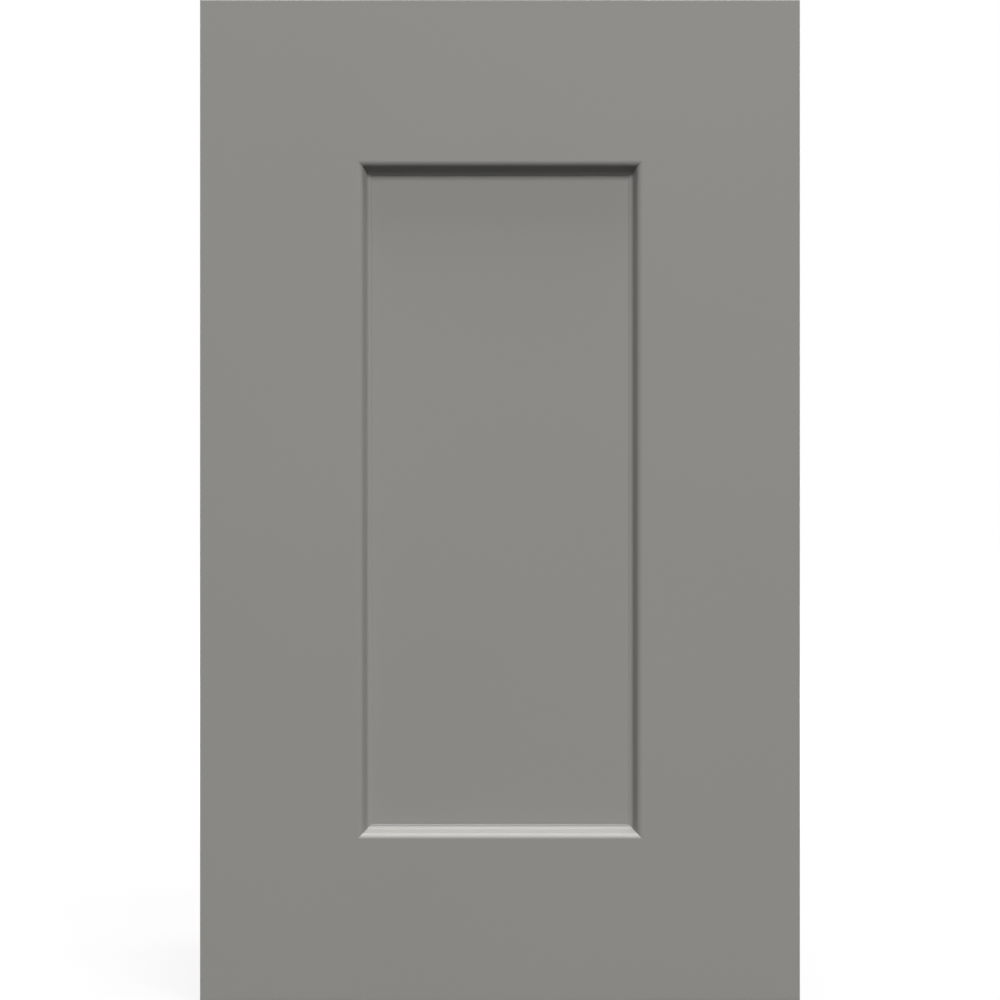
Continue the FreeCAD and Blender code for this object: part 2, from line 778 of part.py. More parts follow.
def hinge_cup(name, height):
    """The cup with its flange, and two ears that hold the pin."""
    def level(offset):
        return f"{height} + {offset}"

    centre = ("cup_x", height)
    plate = new_body(f"{name}_cup_flange")
    low, high = "-cup_flange_half_height", "cup_flange_half_height"
    flange_outline = rounded(("cup_flange_left", "cup_flange_right"), (level(low), level(high)),
                             "cup_corner_radius")
    pad(plate, "Y", flange_outline, "door_back", "cup_face")
    wings = new_body(f"{name}_cup_wings")
    wing_outline = rounded(("cup_screw_x - cup_wing_half_width", "cup_screw_x + cup_wing_half_width"),
                           (level("-cup_wing_half_height"), level("cup_wing_half_height")),
                           "cup_corner_radius")
    pad(wings, "Y", wing_outline, "door_back", "cup_face")
    shell = rod(f"{name}_cup_shell", "Y", centre, "cup_radius", "door_back - cup_depth", "cup_face")
    solid = fuse(f"{name}_cup_solid", [plate, wings, shell])
    hollow = rod(f"{name}_cup_hollow", "Y", centre, "cup_inner_radius", "cup_floor_y",
                 "cup_face + cup_floor")
    holes = [rod(f"{name}_cup_hole_{number}", "Y",
                 ("cup_screw_x", level(f"{sign} * cup_screw_half_spacing")),
                 "wood_screw_radius", "door_back", "cup_face")
             for number, sign in enumerate((-1, 1))]
    cup = cut(f"{name}_cup_open", solid, [hollow, *holes])
    ears = []
    for number, sign in enumerate((-1, 1)):
        low, high = sorted((f"{sign} * ear_low", f"{sign} * ear_high"), key=value)
        ears.append(block(f"{name}_ear_post_{number}", ("pivot_x - ear_radius", "pivot_x + ear_radius"),
                          ("door_back - cup_depth", "pivot_y"), (level(low), level(high))))
        ears.append(rod(f"{name}_ear_eye_{number}", "Z", ("pivot_x", "pivot_y"), "ear_radius",
                        level(low), level(high)))
    whole = fuse(f"{name}_cup_whole", [cup, *ears])
    pin_hole = rod(f"{name}_cup_pin_hole", "Z", ("pivot_x", "pivot_y"), "pivot_radius",
                   level("-ear_high"), level("ear_high"))
    keep(cut(f"{name}_cup", whole, [pin_hole]), f"{name}_hinge_cup")
    pin = rod(f"{name}_pin", "Z", ("pivot_x", "pivot_y"), "pivot_radius", level("-ear_high"),
              level("ear_high"))
    keep(pin, f"{name}_hinge_pin")


def hinge_arm(name, height):
    """The folded arm: a hook out of the cup, a slope, and a channel over the plate's block."""
    def into(depth):
        return f"carcass_front + {depth}"

    outline = [
        ("pivot_x", "hook_low"),
        ("arm_hook_outside - arm_bend_radius", "hook_low"),
        ("arm_hook_outside", "hook_low + arm_bend_radius", "arm_bend_radius"),
        ("arm_hook_outside", into("arm_straight_end")),
        ("arm_web_outside", into("arm_slope_end")),
        ("arm_web_outside", into("arm_end")),
        ("arm_web_inside", into("arm_end")),
        ("arm_web_inside", into("arm_slope_end")),
        ("arm_hook_inside", into("arm_straight_end")),
        ("arm_hook_inside", "hook_high"),
        ("pivot_x", "hook_high"),
    ]
    ends = (f"{height} - arm_half_width", f"{height} + arm_half_width")
    strip = pad(new_body(f"{name}_arm_strip"), "Z", outline, *ends)
    knuckle = rod(f"{name}_knuckle", "Z", ("pivot_x", "pivot_y"), "knuckle_radius", *ends)
    cheek = [
        ("arm_flange_foot - side_inner", into("arm_slope_end")),
        ("arm_web_inside", into("arm_slope_end")),
        ("arm_web_inside", into("arm_end")),
        ("arm_flange_foot - side_inner", into("arm_end - arm_stand_off / 2")),
    ]
    low_cheek = pad(new_body(f"{name}_arm_low_cheek"), "Z", cheek, ends[0], f"{ends[0]} + arm_flange")
    high_cheek = pad(new_body(f"{name}_arm_high_cheek"), "Z", cheek, f"{ends[1]} - arm_flange", ends[1])
    solid = fuse(f"{name}_arm_solid", [strip, knuckle, low_cheek, high_cheek])
    tools = [rod(f"{name}_arm_pin_hole", "Z", ("pivot_x", "pivot_y"), "pivot_radius + pivot_clearance",
                 *ends)]
    for place_name in ("front", "rear"):
        tools.append(rod(f"{name}_arm_screw_hole_{place_name}", "X",
                         (into(f"arm_screw_{place_name}"), height),
                         "arm_screw_radius + arm_screw_clearance", "arm_web_inside", "arm_web_outside"))
    keep(cut(f"{name}_arm", solid, tools), f"{name}_hinge_arm")


def hinge_plate(name, height):
    """The plate on the side panel, with the raised block that carries the arm."""
    base = new_body(f"{name}_plate_base")
    outline = rounded(("front_row - hinge_plate_half_width", "front_row + hinge_plate_half_width"),
                      (f"{height} - hinge_plate_half_height", f"{height} + hinge_plate_half_height"),
                      "hinge_plate_corner")
    plate_face = "hinge_plate_thickness - side_inner"
    pad(base, "X", outline, "-side_inner", plate_face)
    rise = block(f"{name}_plate_block", (plate_face, "arm_web_inside"),
                 ("block_front", "block_rear"),
                 (f"{height} - hinge_block_half_width", f"{height} + hinge_block_half_width"))
    solid = fuse(f"{name}_plate_solid", [base, rise])
    holes = [rod(f"{name}_plate_hole_{number}", "X",
                 ("front_row", f"{height} + {sign} * system_pitch / 2"),
                 "euro_screw_radius", "-side_inner", plate_face)
             for number, sign in enumerate((-1, 1))]
    for place_name in ("front", "rear"):
        holes.append(rod(f"{name}_block_hole_{place_name}", "X",
                         (f"carcass_front + arm_screw_{place_name}", height), "arm_screw_radius",
                         "arm_web_inside - arm_screw_length", "arm_web_inside"))
    keep(cut(f"{name}_plate", solid, holes), f"{name}_hinge_plate")


def hinge_screws(hinge_heights, euro, wood, machine):
    """The screws of both hinges: two in each plate, two in each arm and two in each cup."""
    facing_in = Rotation(UP, DIRECTIONS["X"])
    facing_back = Rotation(UP, DIRECTIONS["Y"])
    plate_screws, arm_screws, cup_screws = [], [], []
    for name, height in hinge_heights.items():
        for number, sign in enumerate((-1, 1)):
            plate_screws.append(copy_at(f"{name}_plate_screw_{number}", euro,
                                        "hinge_plate_thickness - side_inner", "front_row",
                                        f"{height} + {sign} * system_pitch / 2", facing_in))
            cup_screws.append(copy_at(f"{name}_cup_screw_{number}", wood, "cup_screw_x", "cup_face",
                                      f"{height} + {sign} * cup_screw_half_spacing", facing_back))
        for place_name in ("front", "rear"):
            arm_screws.append(copy_at(f"{name}_arm_screw_{place_name}", machine, "arm_web_outside",
                                      f"carcass_front + arm_screw_{place_name}", height, facing_in))
    keep(group("plate_screw_group", plate_screws), "hinge_plate_screws")
    keep(group("arm_screw_group", arm_screws), "hinge_arm_screws")
    keep(group("cup_screw_group", cup_screws), "hinge_cup_screws")


# The door: two stiles, two rails coped over them, and a panel that floats in their grooves


def stile():
    """The hinge-side stile with no bores, which the latch-side one mirrors."""
    outline = [
        ("front_easing - door_side", "door_front", "front_easing"),
        ("-stile_shoulder", "door_front"),
        ("-stile_turn", "ogee_turn", "ogee_round_radius"),
        ("-stile_foot", "ogee_foot"),
        ("-stile_sight", "ogee_end", "-ogee_hollow_radius"),
        ("-stile_sight", "panel_front"),
        ("-stile_groove", "panel_front"),
        ("-stile_groove", "panel_rear"),
        ("-stile_sight", "panel_rear"),
        ("-stile_sight", "door_back"),
        ("back_easing - door_side", "door_back"),
        ("-door_side", "door_back - back_easing", "back_easing"),
        ("-door_side", "door_front + front_easing"),
    ]
    length = pad(new_body("stile_length"), "Z", outline, "door_low", "door_high")
    ends = [
        ("door_front", "door_low + front_easing"),
        ("door_front + front_easing", "door_low", "front_easing"),
        ("door_back - back_easing", "door_low"),
        ("door_back", "door_low + back_easing", "back_easing"),
        ("door_back", "door_high - back_easing"),
        ("door_back - back_easing", "door_high", "back_easing"),
        ("door_front + front_easing", "door_high"),
        ("door_front", "door_high - front_easing", "front_easing"),
    ]
    slab = pad(new_body("stile_ends"), "X", ends, "-door_side", "-stile_sight")
    blank = doc.addObject("Part::Common", "stile_blank")
    blank.Base = length
    blank.Tool = slab
    return blank


def door(hinge_heights):
    hinge_side = stile()
    latch_side = mirror("stile_mirror", hinge_side, "X", "0")
    bores = []
    for name, height in hinge_heights.items():
        bores.append(rod(f"{name}_bore", "Y", ("cup_x", height), "cup_bore_radius",
                         "door_back - cup_bore_depth", "door_back"))
        for number, sign in enumerate((-1, 1)):
            bores.append(rod(f"{name}_pilot_{number}", "Y",
                             ("cup_screw_x", f"{height} + {sign} * cup_screw_half_spacing"),
                             "wood_screw_radius", "cup_face - wood_screw_length", "door_back"))
    keep(cut("hinge_stile_bored", hinge_side, bores), "hinge_stile")
    strike_pilot = rod("strike_pilot", "Y", ("latch_x", "middle"), "strike_screw_radius",
                       "strike_face - strike_screw_length", "door_back")
    keep(cut("latch_stile_bored", latch_side, [strike_pilot]), "latch_stile")

    outline = [
        ("door_front", "rail_shoulder"),
        ("ogee_turn", "rail_turn", "ogee_round_radius"),
        ("ogee_foot", "rail_foot"),
        ("ogee_end", "rail_sight", "-ogee_hollow_radius"),
        ("panel_front", "rail_sight"),
        ("panel_front", "rail_groove"),
        ("panel_rear", "rail_groove"),
        ("panel_rear", "rail_sight"),
        ("door_back", "rail_sight"),
        ("door_back", "door_high - back_easing"),
        ("door_back - back_easing", "door_high", "back_easing"),
        ("door_front + front_easing", "door_high"),
        ("door_front", "door_high - front_easing", "front_easing"),
    ]
    length = pad(new_body("rail_length"), "X", outline, "-stile_groove", "stile_groove")
    top_rail = cut("rail_coped", length, [hinge_side, latch_side])
    keep(top_rail, "door_top_rail")
    keep(mirror("rail_mirror", top_rail, "Z", "middle"), "door_bottom_rail")

    panel = new_body("centre_panel")
    pad(panel, "Y", rectangle(("-panel_half_width", "panel_half_width"), ("panel_low", "panel_high")),
        "panel_front", "panel_rear")
    keep(panel, "door_centre_panel")
    spacer_ends = ("panel_front + spacer_end_clearance", "panel_rear - spacer_end_clearance")
    spacers = []
    for across in (-1, 1):
        for up in (-1, 1):
            side = (f"{across} * (panel_half_width + spacer_radius)",
                    f"middle + {up} * side_spacer_offset")
            end = (f"{across} * end_spacer_offset",
                   f"middle + {up} * (panel_high + spacer_radius - middle)")
            number = len(spacers)
            spacers.append(rod(f"spacer_{number}", "Y", side, "spacer_radius", *spacer_ends))
            spacers.append(rod(f"spacer_{number + 1}", "Y", end, "spacer_radius", *spacer_ends))
    keep(group("spacer_group", spacers), "panel_spacers")


# The touch latch on the right side panel, and the strike on the door that its magnet holds


def latch(euro):
    centre = ("latch_x", "middle")
    half = "latch_width / 2"
    case = new_body("latch_case")
    pad(case, "Y", rounded((f"latch_x - {half}", "side_inner"), (f"middle - {half}", f"middle + {half}"),
                           "latch_corner"), "latch_front", "latch_front + latch_length")
    ears = new_body("latch_ears")
    pad(ears, "X", rounded(("front_row - latch_ear_half_width", "front_row + latch_ear_half_width"),
                           ("middle - latch_ear_half_height", "middle + latch_ear_half_height"),
                           "latch_corner"), "side_inner - latch_ear_thickness", "side_inner")
    solid = fuse("latch_solid", [case, ears])
    tools = [rod("latch_bore", "Y", centre, "latch_bore_radius", "latch_front", "latch_bore_end")]
    screws = []
    for number, sign in enumerate((-1, 1)):
        screw_height = f"middle + {sign} * system_pitch / 2"
        tools.append(rod(f"latch_hole_{number}", "X", ("front_row", screw_height), "euro_screw_radius",
                         "side_inner - latch_ear_thickness", "side_inner"))
        screws.append(copy_at(f"latch_screw_{number}", euro, "side_inner - latch_ear_thickness",
                              "front_row", screw_height, Rotation(UP, Vector(-1, 0, 0))))
    keep(cut("latch_body", solid, tools), "latch_housing")
    keep(group("latch_screw_group", screws), "latch_screws")

    head = rod("plunger_head", "Y", centre, "plunger_head_radius", "plunger_front", "plunger_shoulder")
    stem = rod("plunger_stem", "Y", centre, "plunger_radius", "plunger_shoulder", "plunger_end")
    seat = rod("magnet_seat", "Y", centre, "magnet_radius", "plunger_front",
               "plunger_front + magnet_thickness")
    keep(cut("plunger", fuse("plunger_solid", [head, stem]), [seat]), "latch_plunger")
    keep(rod("magnet", "Y", centre, "magnet_radius", "plunger_front", "plunger_front + magnet_thickness"),
         "latch_magnet")

    spring = new_body("spring")
    sketch = new_sketch(spring, "Z", "0")
    sketch.addGeometry(Part.Circle(Vector(value("spring_radius"), 0, 0), UP, value("spring_wire_radius")))
    fix_point(sketch, 0, 3, ("spring_radius", "0"))
    fix_radius(sketch, 0, "spring_wire_radius")
    coil = spring.newObject("PartDesign::AdditiveHelix", "spring_coil")
    coil.Profile = sketch
    coil.ReferenceAxis = (sketch, ["V_Axis"])
    coil.Mode = "height-turns-angle"
    bind(coil, "Height", "spring_height")
    bind(coil, "Turns", "spring_turns")
    place(spring, "latch_x", "plunger_end + spring_wire_radius", "middle")
    keep(spring, "latch_spring")

    plate = turned("strike_blank", [
        ("0", "0"),
        ("strike_radius", "0"),
        ("strike_radius", "strike_thickness / 2"),
        ("strike_radius - strike_thickness / 2", "strike_thickness"),
        ("0", "strike_thickness"),
    ])
    screw = turned("strike_screw_shape", [
        ("0", "-strike_screw_length"),
        ("strike_screw_radius / 2", "-strike_screw_length"),
        ("strike_screw_radius", "2 * strike_screw_radius - strike_screw_length"),
        ("strike_screw_radius", "-strike_thickness"),
        ("strike_head_radius", "0"),
        ("0", "0"),
    ])
    facing_back = Rotation(UP, DIRECTIONS["Y"])
    placed_plate = copy_at("strike_placed", plate, "latch_x", "door_back", "middle", facing_back)
    placed_screw = copy_at("strike_screw_placed", screw, "latch_x", "strike_face", "middle", facing_back)
    keep(cut("strike", placed_plate, [placed_screw]), "latch_strike_plate")
    cross = "screw_slot_width / 2"
    reach = "strike_head_radius * 0.5"
    depth = ("strike_face - screw_slot_depth", "strike_face + screw_slot_depth")
    slots = fuse("strike_cross", [
        block("strike_slot", (f"latch_x - {reach}", f"latch_x + {reach}"), depth,
              (f"middle - {cross}", f"middle + {cross}")),
        block("strike_cross_slot", (f"latch_x - {cross}", f"latch_x + {cross}"), depth,
              (f"middle - {reach}", f"middle + {reach}")),
    ])
    keep(cut("strike_screw", placed_screw, [slots]), "strike_plate_screw")


def build():
    hinge_heights = {"upper": "upper_hinge_height", "lower": "lower_hinge_height"}
    euro = pan_screw("euro", "euro_screw_radius", "euro_screw_length")
    wood = pan_screw("wood", "wood_screw_radius", "wood_screw_length")
    machine = pan_screw("arm", "arm_screw_radius", "arm_screw_length")
    box()
    pin = shelf_pin()
    shelf("upper", pin, "upper_pin_height")
    shelf("lower", pin, "lower_pin_height")
    for name, height in hinge_heights.items():
        hinge_cup(name, height)
        hinge_arm(name, height)
        hinge_plate(name, height)
    hinge_screws(hinge_heights, euro, wood, machine)
    door(hinge_heights)
    latch(euro)
    doc.recompute()


def check():
    """Stops on anything that failed, or that cut nothing, before a file is written."""
    for thing in doc.Objects:
        if "Invalid" in thing.State or "Error" in thing.State:
            raise RuntimeError(f"{thing.Name} ({thing.Label}) failed: {thing.State}")
    for thing, base in cuts:
        if thing.Shape.Volume > base.Shape.Volume - 1e-3:
            raise RuntimeError(f"{thing.Name} cut nothing")
    for thing in sub_parts:
        if thing.Shape.isNull() or not thing.Shape.isValid() or not thing.Shape.Solids:
            raise RuntimeError(f"{thing.Label} is not a valid solid")


def write():
    os.makedirs("parts", exist_ok=True)
    for thing in sub_parts:
        thing.Shape.exportStep(f"parts/{thing.Label}.step")
        print(f"{thing.Label}: {len(thing.Shape.Solids)} solids, {thing.Shape.Volume:.1f} mm3")


build()
check()
write()
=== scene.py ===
import json
import math

import bmesh
import bpy
from bpy.props import FloatProperty, FloatVectorProperty, IntProperty, PointerProperty
from mathutils import Matrix, Vector


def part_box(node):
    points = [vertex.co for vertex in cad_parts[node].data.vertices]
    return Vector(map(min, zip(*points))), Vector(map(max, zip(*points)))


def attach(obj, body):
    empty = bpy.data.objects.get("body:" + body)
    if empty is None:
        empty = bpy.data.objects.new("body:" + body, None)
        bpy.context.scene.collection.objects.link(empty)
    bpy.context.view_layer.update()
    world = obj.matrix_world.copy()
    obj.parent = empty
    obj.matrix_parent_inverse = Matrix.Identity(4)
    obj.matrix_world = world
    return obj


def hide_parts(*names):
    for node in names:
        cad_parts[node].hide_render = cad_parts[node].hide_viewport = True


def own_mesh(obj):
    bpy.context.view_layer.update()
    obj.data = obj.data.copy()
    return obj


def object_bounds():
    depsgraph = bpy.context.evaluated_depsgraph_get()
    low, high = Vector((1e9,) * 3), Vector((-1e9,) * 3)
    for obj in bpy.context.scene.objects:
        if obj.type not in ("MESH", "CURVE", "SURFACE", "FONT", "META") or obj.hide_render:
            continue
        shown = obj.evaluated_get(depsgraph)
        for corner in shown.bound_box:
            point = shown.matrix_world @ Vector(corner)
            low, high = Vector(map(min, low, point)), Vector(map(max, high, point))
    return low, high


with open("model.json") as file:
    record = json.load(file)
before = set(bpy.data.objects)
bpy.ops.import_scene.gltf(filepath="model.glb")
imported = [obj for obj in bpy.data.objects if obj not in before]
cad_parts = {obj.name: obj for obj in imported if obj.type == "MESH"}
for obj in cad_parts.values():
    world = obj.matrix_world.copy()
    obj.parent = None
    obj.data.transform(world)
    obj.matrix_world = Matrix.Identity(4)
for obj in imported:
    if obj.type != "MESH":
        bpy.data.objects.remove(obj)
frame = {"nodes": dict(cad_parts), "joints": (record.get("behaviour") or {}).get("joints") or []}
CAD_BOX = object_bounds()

bl_info = {
    "name": "Pantry Cabinet",
    "version": (1, 0, 0),
    "blender": (4, 5, 0),
    "location": "3D Viewport > Sidebar > Cabinet",
    "description": "Finishes a small pantry cabinet: lacquered door, maple box, fittings and studio",
    "category": "Object",
}

MILLIMETRE = 0.001

# A face of a board is an outer one when it lies within this depth of the outside
SKIN = 0.2 * MILLIMETRE
# The backs of the lacquer beads lie this deep in the door
BURIED = 0.1 * MILLIMETRE
# Corners of a CAD mesh closer than this are one corner
MERGE = 0.001 * MILLIMETRE
# A sweep is widened by this at a 45 degree mitre
MITRE = math.sqrt(2)
# Edges that turn by more than this stay crisp
SHARP = math.radians(35)
# The edges that join four corners in a ring
LOOP = ((0, 1), (1, 2), (2, 3), (3, 0))
# Steps round a cam cap's ring, and round a small bead, rib or fillet
RING_STEPS = 72
BEAD_STEPS = 12
# How far the fine texture of each kind of finish stands up
RELIEF = {
    "lacquer": 0.012 * MILLIMETRE,
    "board": 0.03 * MILLIMETRE,
    "dowel": 0.05 * MILLIMETRE,
    "plating": 0.006 * MILLIMETRE,
    "moulding": 0.02 * MILLIMETRE,
}
# The radius of a cam cap's ring, as a share of the cap's radius
RING_SHARE = 0.68
# The floor lies this far under the cabinet, and reaches full white between these distances from it
FLOOR_GAP = 0.05 * MILLIMETRE
FADE = (0.8, 2.0)
# The door's width as a share of the camera's view, and the width of its sensor in millimetres
DOOR_SHARE = 0.6
SENSOR_WIDTH = 36

CENTRE_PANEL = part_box("door_centre_panel")
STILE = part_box("hinge_stile")
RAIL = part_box("door_top_rail")
LEFT_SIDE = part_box("left_side_panel")
RIGHT_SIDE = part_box("right_side_panel")
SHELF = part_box("upper_shelf")
DOOR_FRONT = STILE[0].y
DOOR_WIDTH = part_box("latch_stile")[1].x - STILE[0].x
MIDDLE = (STILE[0].z + STILE[1].z) / 2
SIGHT_HALF_WIDTH = -STILE[1].x
SIGHT_HALF_HEIGHT = RAIL[0].z - MIDDLE

# Each plain screw: its body, the way its head faces, its head's height and its shank's radius
SCREWS = {
    "hinge_plate_screws": ("carcass", (1.0, 0.0, 0.0), 1.8 * MILLIMETRE, 2.5 * MILLIMETRE),
    "hinge_arm_screws": ("carcass", (1.0, 0.0, 0.0), 2.0 * MILLIMETRE, 2.0 * MILLIMETRE),
    "latch_screws": ("carcass", (-1.0, 0.0, 0.0), 1.8 * MILLIMETRE, 1.75 * MILLIMETRE),
    "hinge_cup_screws": ("door", (0.0, 1.0, 0.0), 1.8 * MILLIMETRE, 1.75 * MILLIMETRE),
}

# Each lamp: its place, its width and its height, in metres
LAMPS = {
    "key": ((2.66, -13.8, 14.63), 6.4, 5.2),
    "top": ((0.3, -0.9, 10.2), 3.0, 3.0),
    "front": ((0.6, -2.5, 1.9), 1.2, 0.9),
    "right": ((3.9, 0.6, 0.75), 1.8, 1.5),
    "left": ((-3.9, 0.6, 0.75), 1.8, 1.5),
    "back": ((0.6, 4.2, 0.8), 1.8, 1.5),
}

# Each plated finish: the name of its colour, the tone of its stains, its roughness and its nodes
PLATED = {
    "nickel_plating": ("nickel", (0.50, 0.48, 0.44), 0.24, (
        "upper_hinge_cup", "lower_hinge_cup", "upper_hinge_arm", "lower_hinge_arm",
        "upper_hinge_plate", "lower_hinge_plate", "upper_shelf_pins", "lower_shelf_pins")),
    "zinc_plating": ("zinc", (0.50, 0.50, 0.47), 0.30, ("cam_bolts", "strike_plate_screw")),
    "strike_plating": ("zinc", (0.50, 0.50, 0.47), 0.26, ("latch_strike_plate",)),
    "cam_casting": ("cam_metal", (0.33, 0.33, 0.33), 0.45, ("cam_locks",)),
    "pin_grinding": ("pin_steel", (0.46, 0.46, 0.46), 0.18, ("upper_hinge_pin", "lower_hinge_pin")),
    "spring_wire": ("spring_steel", (0.26, 0.25, 0.24), 0.28, ("latch_spring",)),
    "magnet_plating": ("magnet", (0.09, 0.09, 0.09), 0.38, ("latch_magnet",)),
}

# Each moulded finish: the name of its colour, its roughness and its node
MOULDED = {
    "housing_moulding": ("grey_plastic", 0.46, "latch_housing"),
    "plunger_moulding": ("white_plastic", 0.40, "latch_plunger"),
    "cap_moulding": ("cap_plastic", 0.42, "cam_caps"),
    "spacer_moulding": ("rubber", 0.75, "panel_spacers"),
}

# --------------------------------------------------------------------------- settings


class CabinetColours(bpy.types.PropertyGroup):
    """The colours of the cabinet's finishes"""

    lacquer: FloatVectorProperty(
        name="Lacquer", description="Satin lacquer on the door and the outside of the box",
        default=(0.254, 0.250, 0.235), subtype="COLOR", size=3, min=0, max=1)
    maple_light: FloatVectorProperty(
        name="Maple", description="Light wood between the grain lines",
        default=(0.70, 0.50, 0.31), subtype="COLOR", size=3, min=0, max=1)
    maple_dark: FloatVectorProperty(
        name="Maple grain", description="Darker wood of the grain lines",
        default=(0.52, 0.33, 0.18), subtype="COLOR", size=3, min=0, max=1)
    ply_dark: FloatVectorProperty(
        name="Cross plies", description="End grain of the cross layers in the board edges",
        default=(0.30, 0.18, 0.10), subtype="COLOR", size=3, min=0, max=1)
    nickel: FloatVectorProperty(
        name="Nickel", description="Plating of the hinges and the shelf pins",
        default=(0.60, 0.58, 0.55), subtype="COLOR", size=3, min=0, max=1)
    zinc: FloatVectorProperty(
        name="Zinc", description="Plating of the screws and the strike plate",
        default=(0.62, 0.63, 0.64), subtype="COLOR", size=3, min=0, max=1)
    cam_metal: FloatVectorProperty(
        name="Cam metal", description="Cast metal of the cam locks",
        default=(0.42, 0.42, 0.43), subtype="COLOR", size=3, min=0, max=1)
    pin_steel: FloatVectorProperty(
        name="Pin steel", description="Ground steel of the hinge pins",
        default=(0.56, 0.56, 0.57), subtype="COLOR", size=3, min=0, max=1)
    spring_steel: FloatVectorProperty(
        name="Spring steel", description="Wire of the latch spring",
        default=(0.38, 0.38, 0.39), subtype="COLOR", size=3, min=0, max=1)
    magnet: FloatVectorProperty(
        name="Magnet", description="Plating of the latch's magnet",
        default=(0.14, 0.14, 0.145), subtype="COLOR", size=3, min=0, max=1)
    grey_plastic: FloatVectorProperty(
        name="Grey plastic", description="The latch housing",
        default=(0.11, 0.11, 0.105), subtype="COLOR", size=3, min=0, max=1)
    cap_plastic: FloatVectorProperty(
        name="Cap plastic", description="The caps over the cam locks",
        default=(0.23, 0.225, 0.21), subtype="COLOR", size=3, min=0, max=1)
    white_plastic: FloatVectorProperty(
        name="White plastic", description="The latch plunger",
        default=(0.62, 0.61, 0.58), subtype="COLOR", size=3, min=0, max=1)
    rubber: FloatVectorProperty(
        name="Rubber", description="The spacers in the door's groove",
        default=(0.02, 0.02, 0.02), subtype="COLOR", size=3, min=0, max=1)


class CabinetSizes(bpy.types.PropertyGroup):
    """The sizes of the details that the looks add"""

    front_bead: FloatProperty(
        name="Front bead", description="Radius of the lacquer in the corner between panel and moulding",
        default=0.28 * MILLIMETRE, unit="LENGTH")
    back_bead: FloatProperty(
        name="Back bead", description="Radius of the lacquer in the corner round the panel's back",
        default=0.8 * MILLIMETRE, unit="LENGTH")
    soft_edge: FloatProperty(
        name="Soft edge", description="Rounding that light sees on the edges of metal and plastic",
        default=0.25 * MILLIMETRE, unit="LENGTH")
    board_edge: FloatProperty(
        name="Board edge", description="Rounding that light sees on the edges of the boards",
        default=0.35 * MILLIMETRE, unit="LENGTH")
    ply_thickness: FloatProperty(
        name="Ply", description="Thickness of one layer in the board edges",
        default=1.5 * MILLIMETRE, unit="LENGTH")
    thread_pitch: FloatProperty(
        name="Thread pitch", description="Distance between the turns of a screw's thread",
        default=1.8 * MILLIMETRE, unit="LENGTH")
    thread_depth: FloatProperty(
        name="Thread depth", description="Depth of a screw's thread",
        default=0.45 * MILLIMETRE, unit="LENGTH")
    plunger_head: FloatProperty(
        name="Plunger head", description="Length of the latch plunger's head",
        default=3.5 * MILLIMETRE, unit="LENGTH")
    rib_radius: FloatProperty(
        name="Plunger rib", description="Radius of one grip rib on the plunger's head",
        default=0.4 * MILLIMETRE, unit="LENGTH")
    cap_bead: FloatProperty(
        name="Cap bead", description="Radius of the raised ring on a cam cap",
        default=0.18 * MILLIMETRE, unit="LENGTH")
    rib_count: IntProperty(
        name="Plunger ribs", description="Grip ribs round the latch plunger's head",
        default=28, min=8, max=60)


class CabinetStage(bpy.types.PropertyGroup):
    """The camera and the studio light"""

    camera_distance: FloatProperty(
        name="Camera distance", description="From the camera to the door's face",
        default=2.6, unit="LENGTH")
    key_power: FloatProperty(
        name="Key lamp", description="Power of the far lamp, high in front of the cabinet",
        default=3850.0, unit="POWER")
    top_power: FloatProperty(
        name="Top lamp", description="Power of the lamp high over the cabinet",
        default=1200.0, unit="POWER")
    front_power: FloatProperty(
        name="Front lamp", description="Power of the soft lamp above the camera",
        default=6.0, unit="POWER")
    right_power: FloatProperty(
        name="Right lamp", description="Power of the lamp that lights the right side",
        default=93.0, unit="POWER")
    left_power: FloatProperty(
        name="Left lamp", description="Power of the lamp that lights the left side",
        default=93.0, unit="POWER")
    back_power: FloatProperty(
        name="Back lamp", description="Power of the lamp behind the cabinet",
        default=100.0, unit="POWER")
    ambient: FloatProperty(
        name="Ambient", description="Brightness of the room around the cabinet",
        default=0.09, min=0)
    floor_size: FloatProperty(
        name="Floor", description="Side of the square floor",
        default=60.0, unit="LENGTH")
    floor_glow: FloatProperty(
        name="Floor white", description="Share of white that the floor shows even in shadow",
        default=0.86, min=0, max=1)
    floor_shade: FloatProperty(
        name="Floor shade", description="Share of the lamps' light that the cabinet's shadow takes away",
        default=0.07, min=0, max=1)
    floor_bounce: FloatProperty(
        name="Floor bounce", description="Share of the light that the floor throws back at the cabinet",
        default=0.02, min=0, max=1)


class CabinetSettings(bpy.types.PropertyGroup):
    """All of the cabinet's settings"""

    colours: PointerProperty(name="Colours", description="Colours of the finishes", type=CabinetColours)
    sizes: PointerProperty(name="Sizes", description="Sizes of the details", type=CabinetSizes)
    stage: PointerProperty(name="Stage", description="Camera and light", type=CabinetStage)


# --------------------------------------------------------------------------- node trees


class Value:
    """A number in a node tree. Python's arithmetic adds Math nodes to it."""

    def __init__(self, graph, socket):
        self.graph = graph
        self.socket = socket

    def __add__(self, other):
        return self.graph.math("ADD", self, other)

    def __radd__(self, other):
        return self.graph.math("ADD", other, self)

    def __sub__(self, other):
        return self.graph.math("SUBTRACT", self, other)

    def __rsub__(self, other):
        return self.graph.math("SUBTRACT", other, self)

    def __mul__(self, other):
        return self.graph.math("MULTIPLY", self, other)

    def __rmul__(self, other):
        return self.graph.math("MULTIPLY", other, self)

    def __truediv__(self, other):
        return self.graph.math("DIVIDE", self, other)

    def __rtruediv__(self, other):
        return self.graph.math("DIVIDE", other, self)

    def __gt__(self, other):
        return self.graph.math("GREATER_THAN", self, other)

    def __lt__(self, other):
        return self.graph.math("LESS_THAN", self, other)

    def __or__(self, other):
        return self.graph.math("MAXIMUM", self, other)


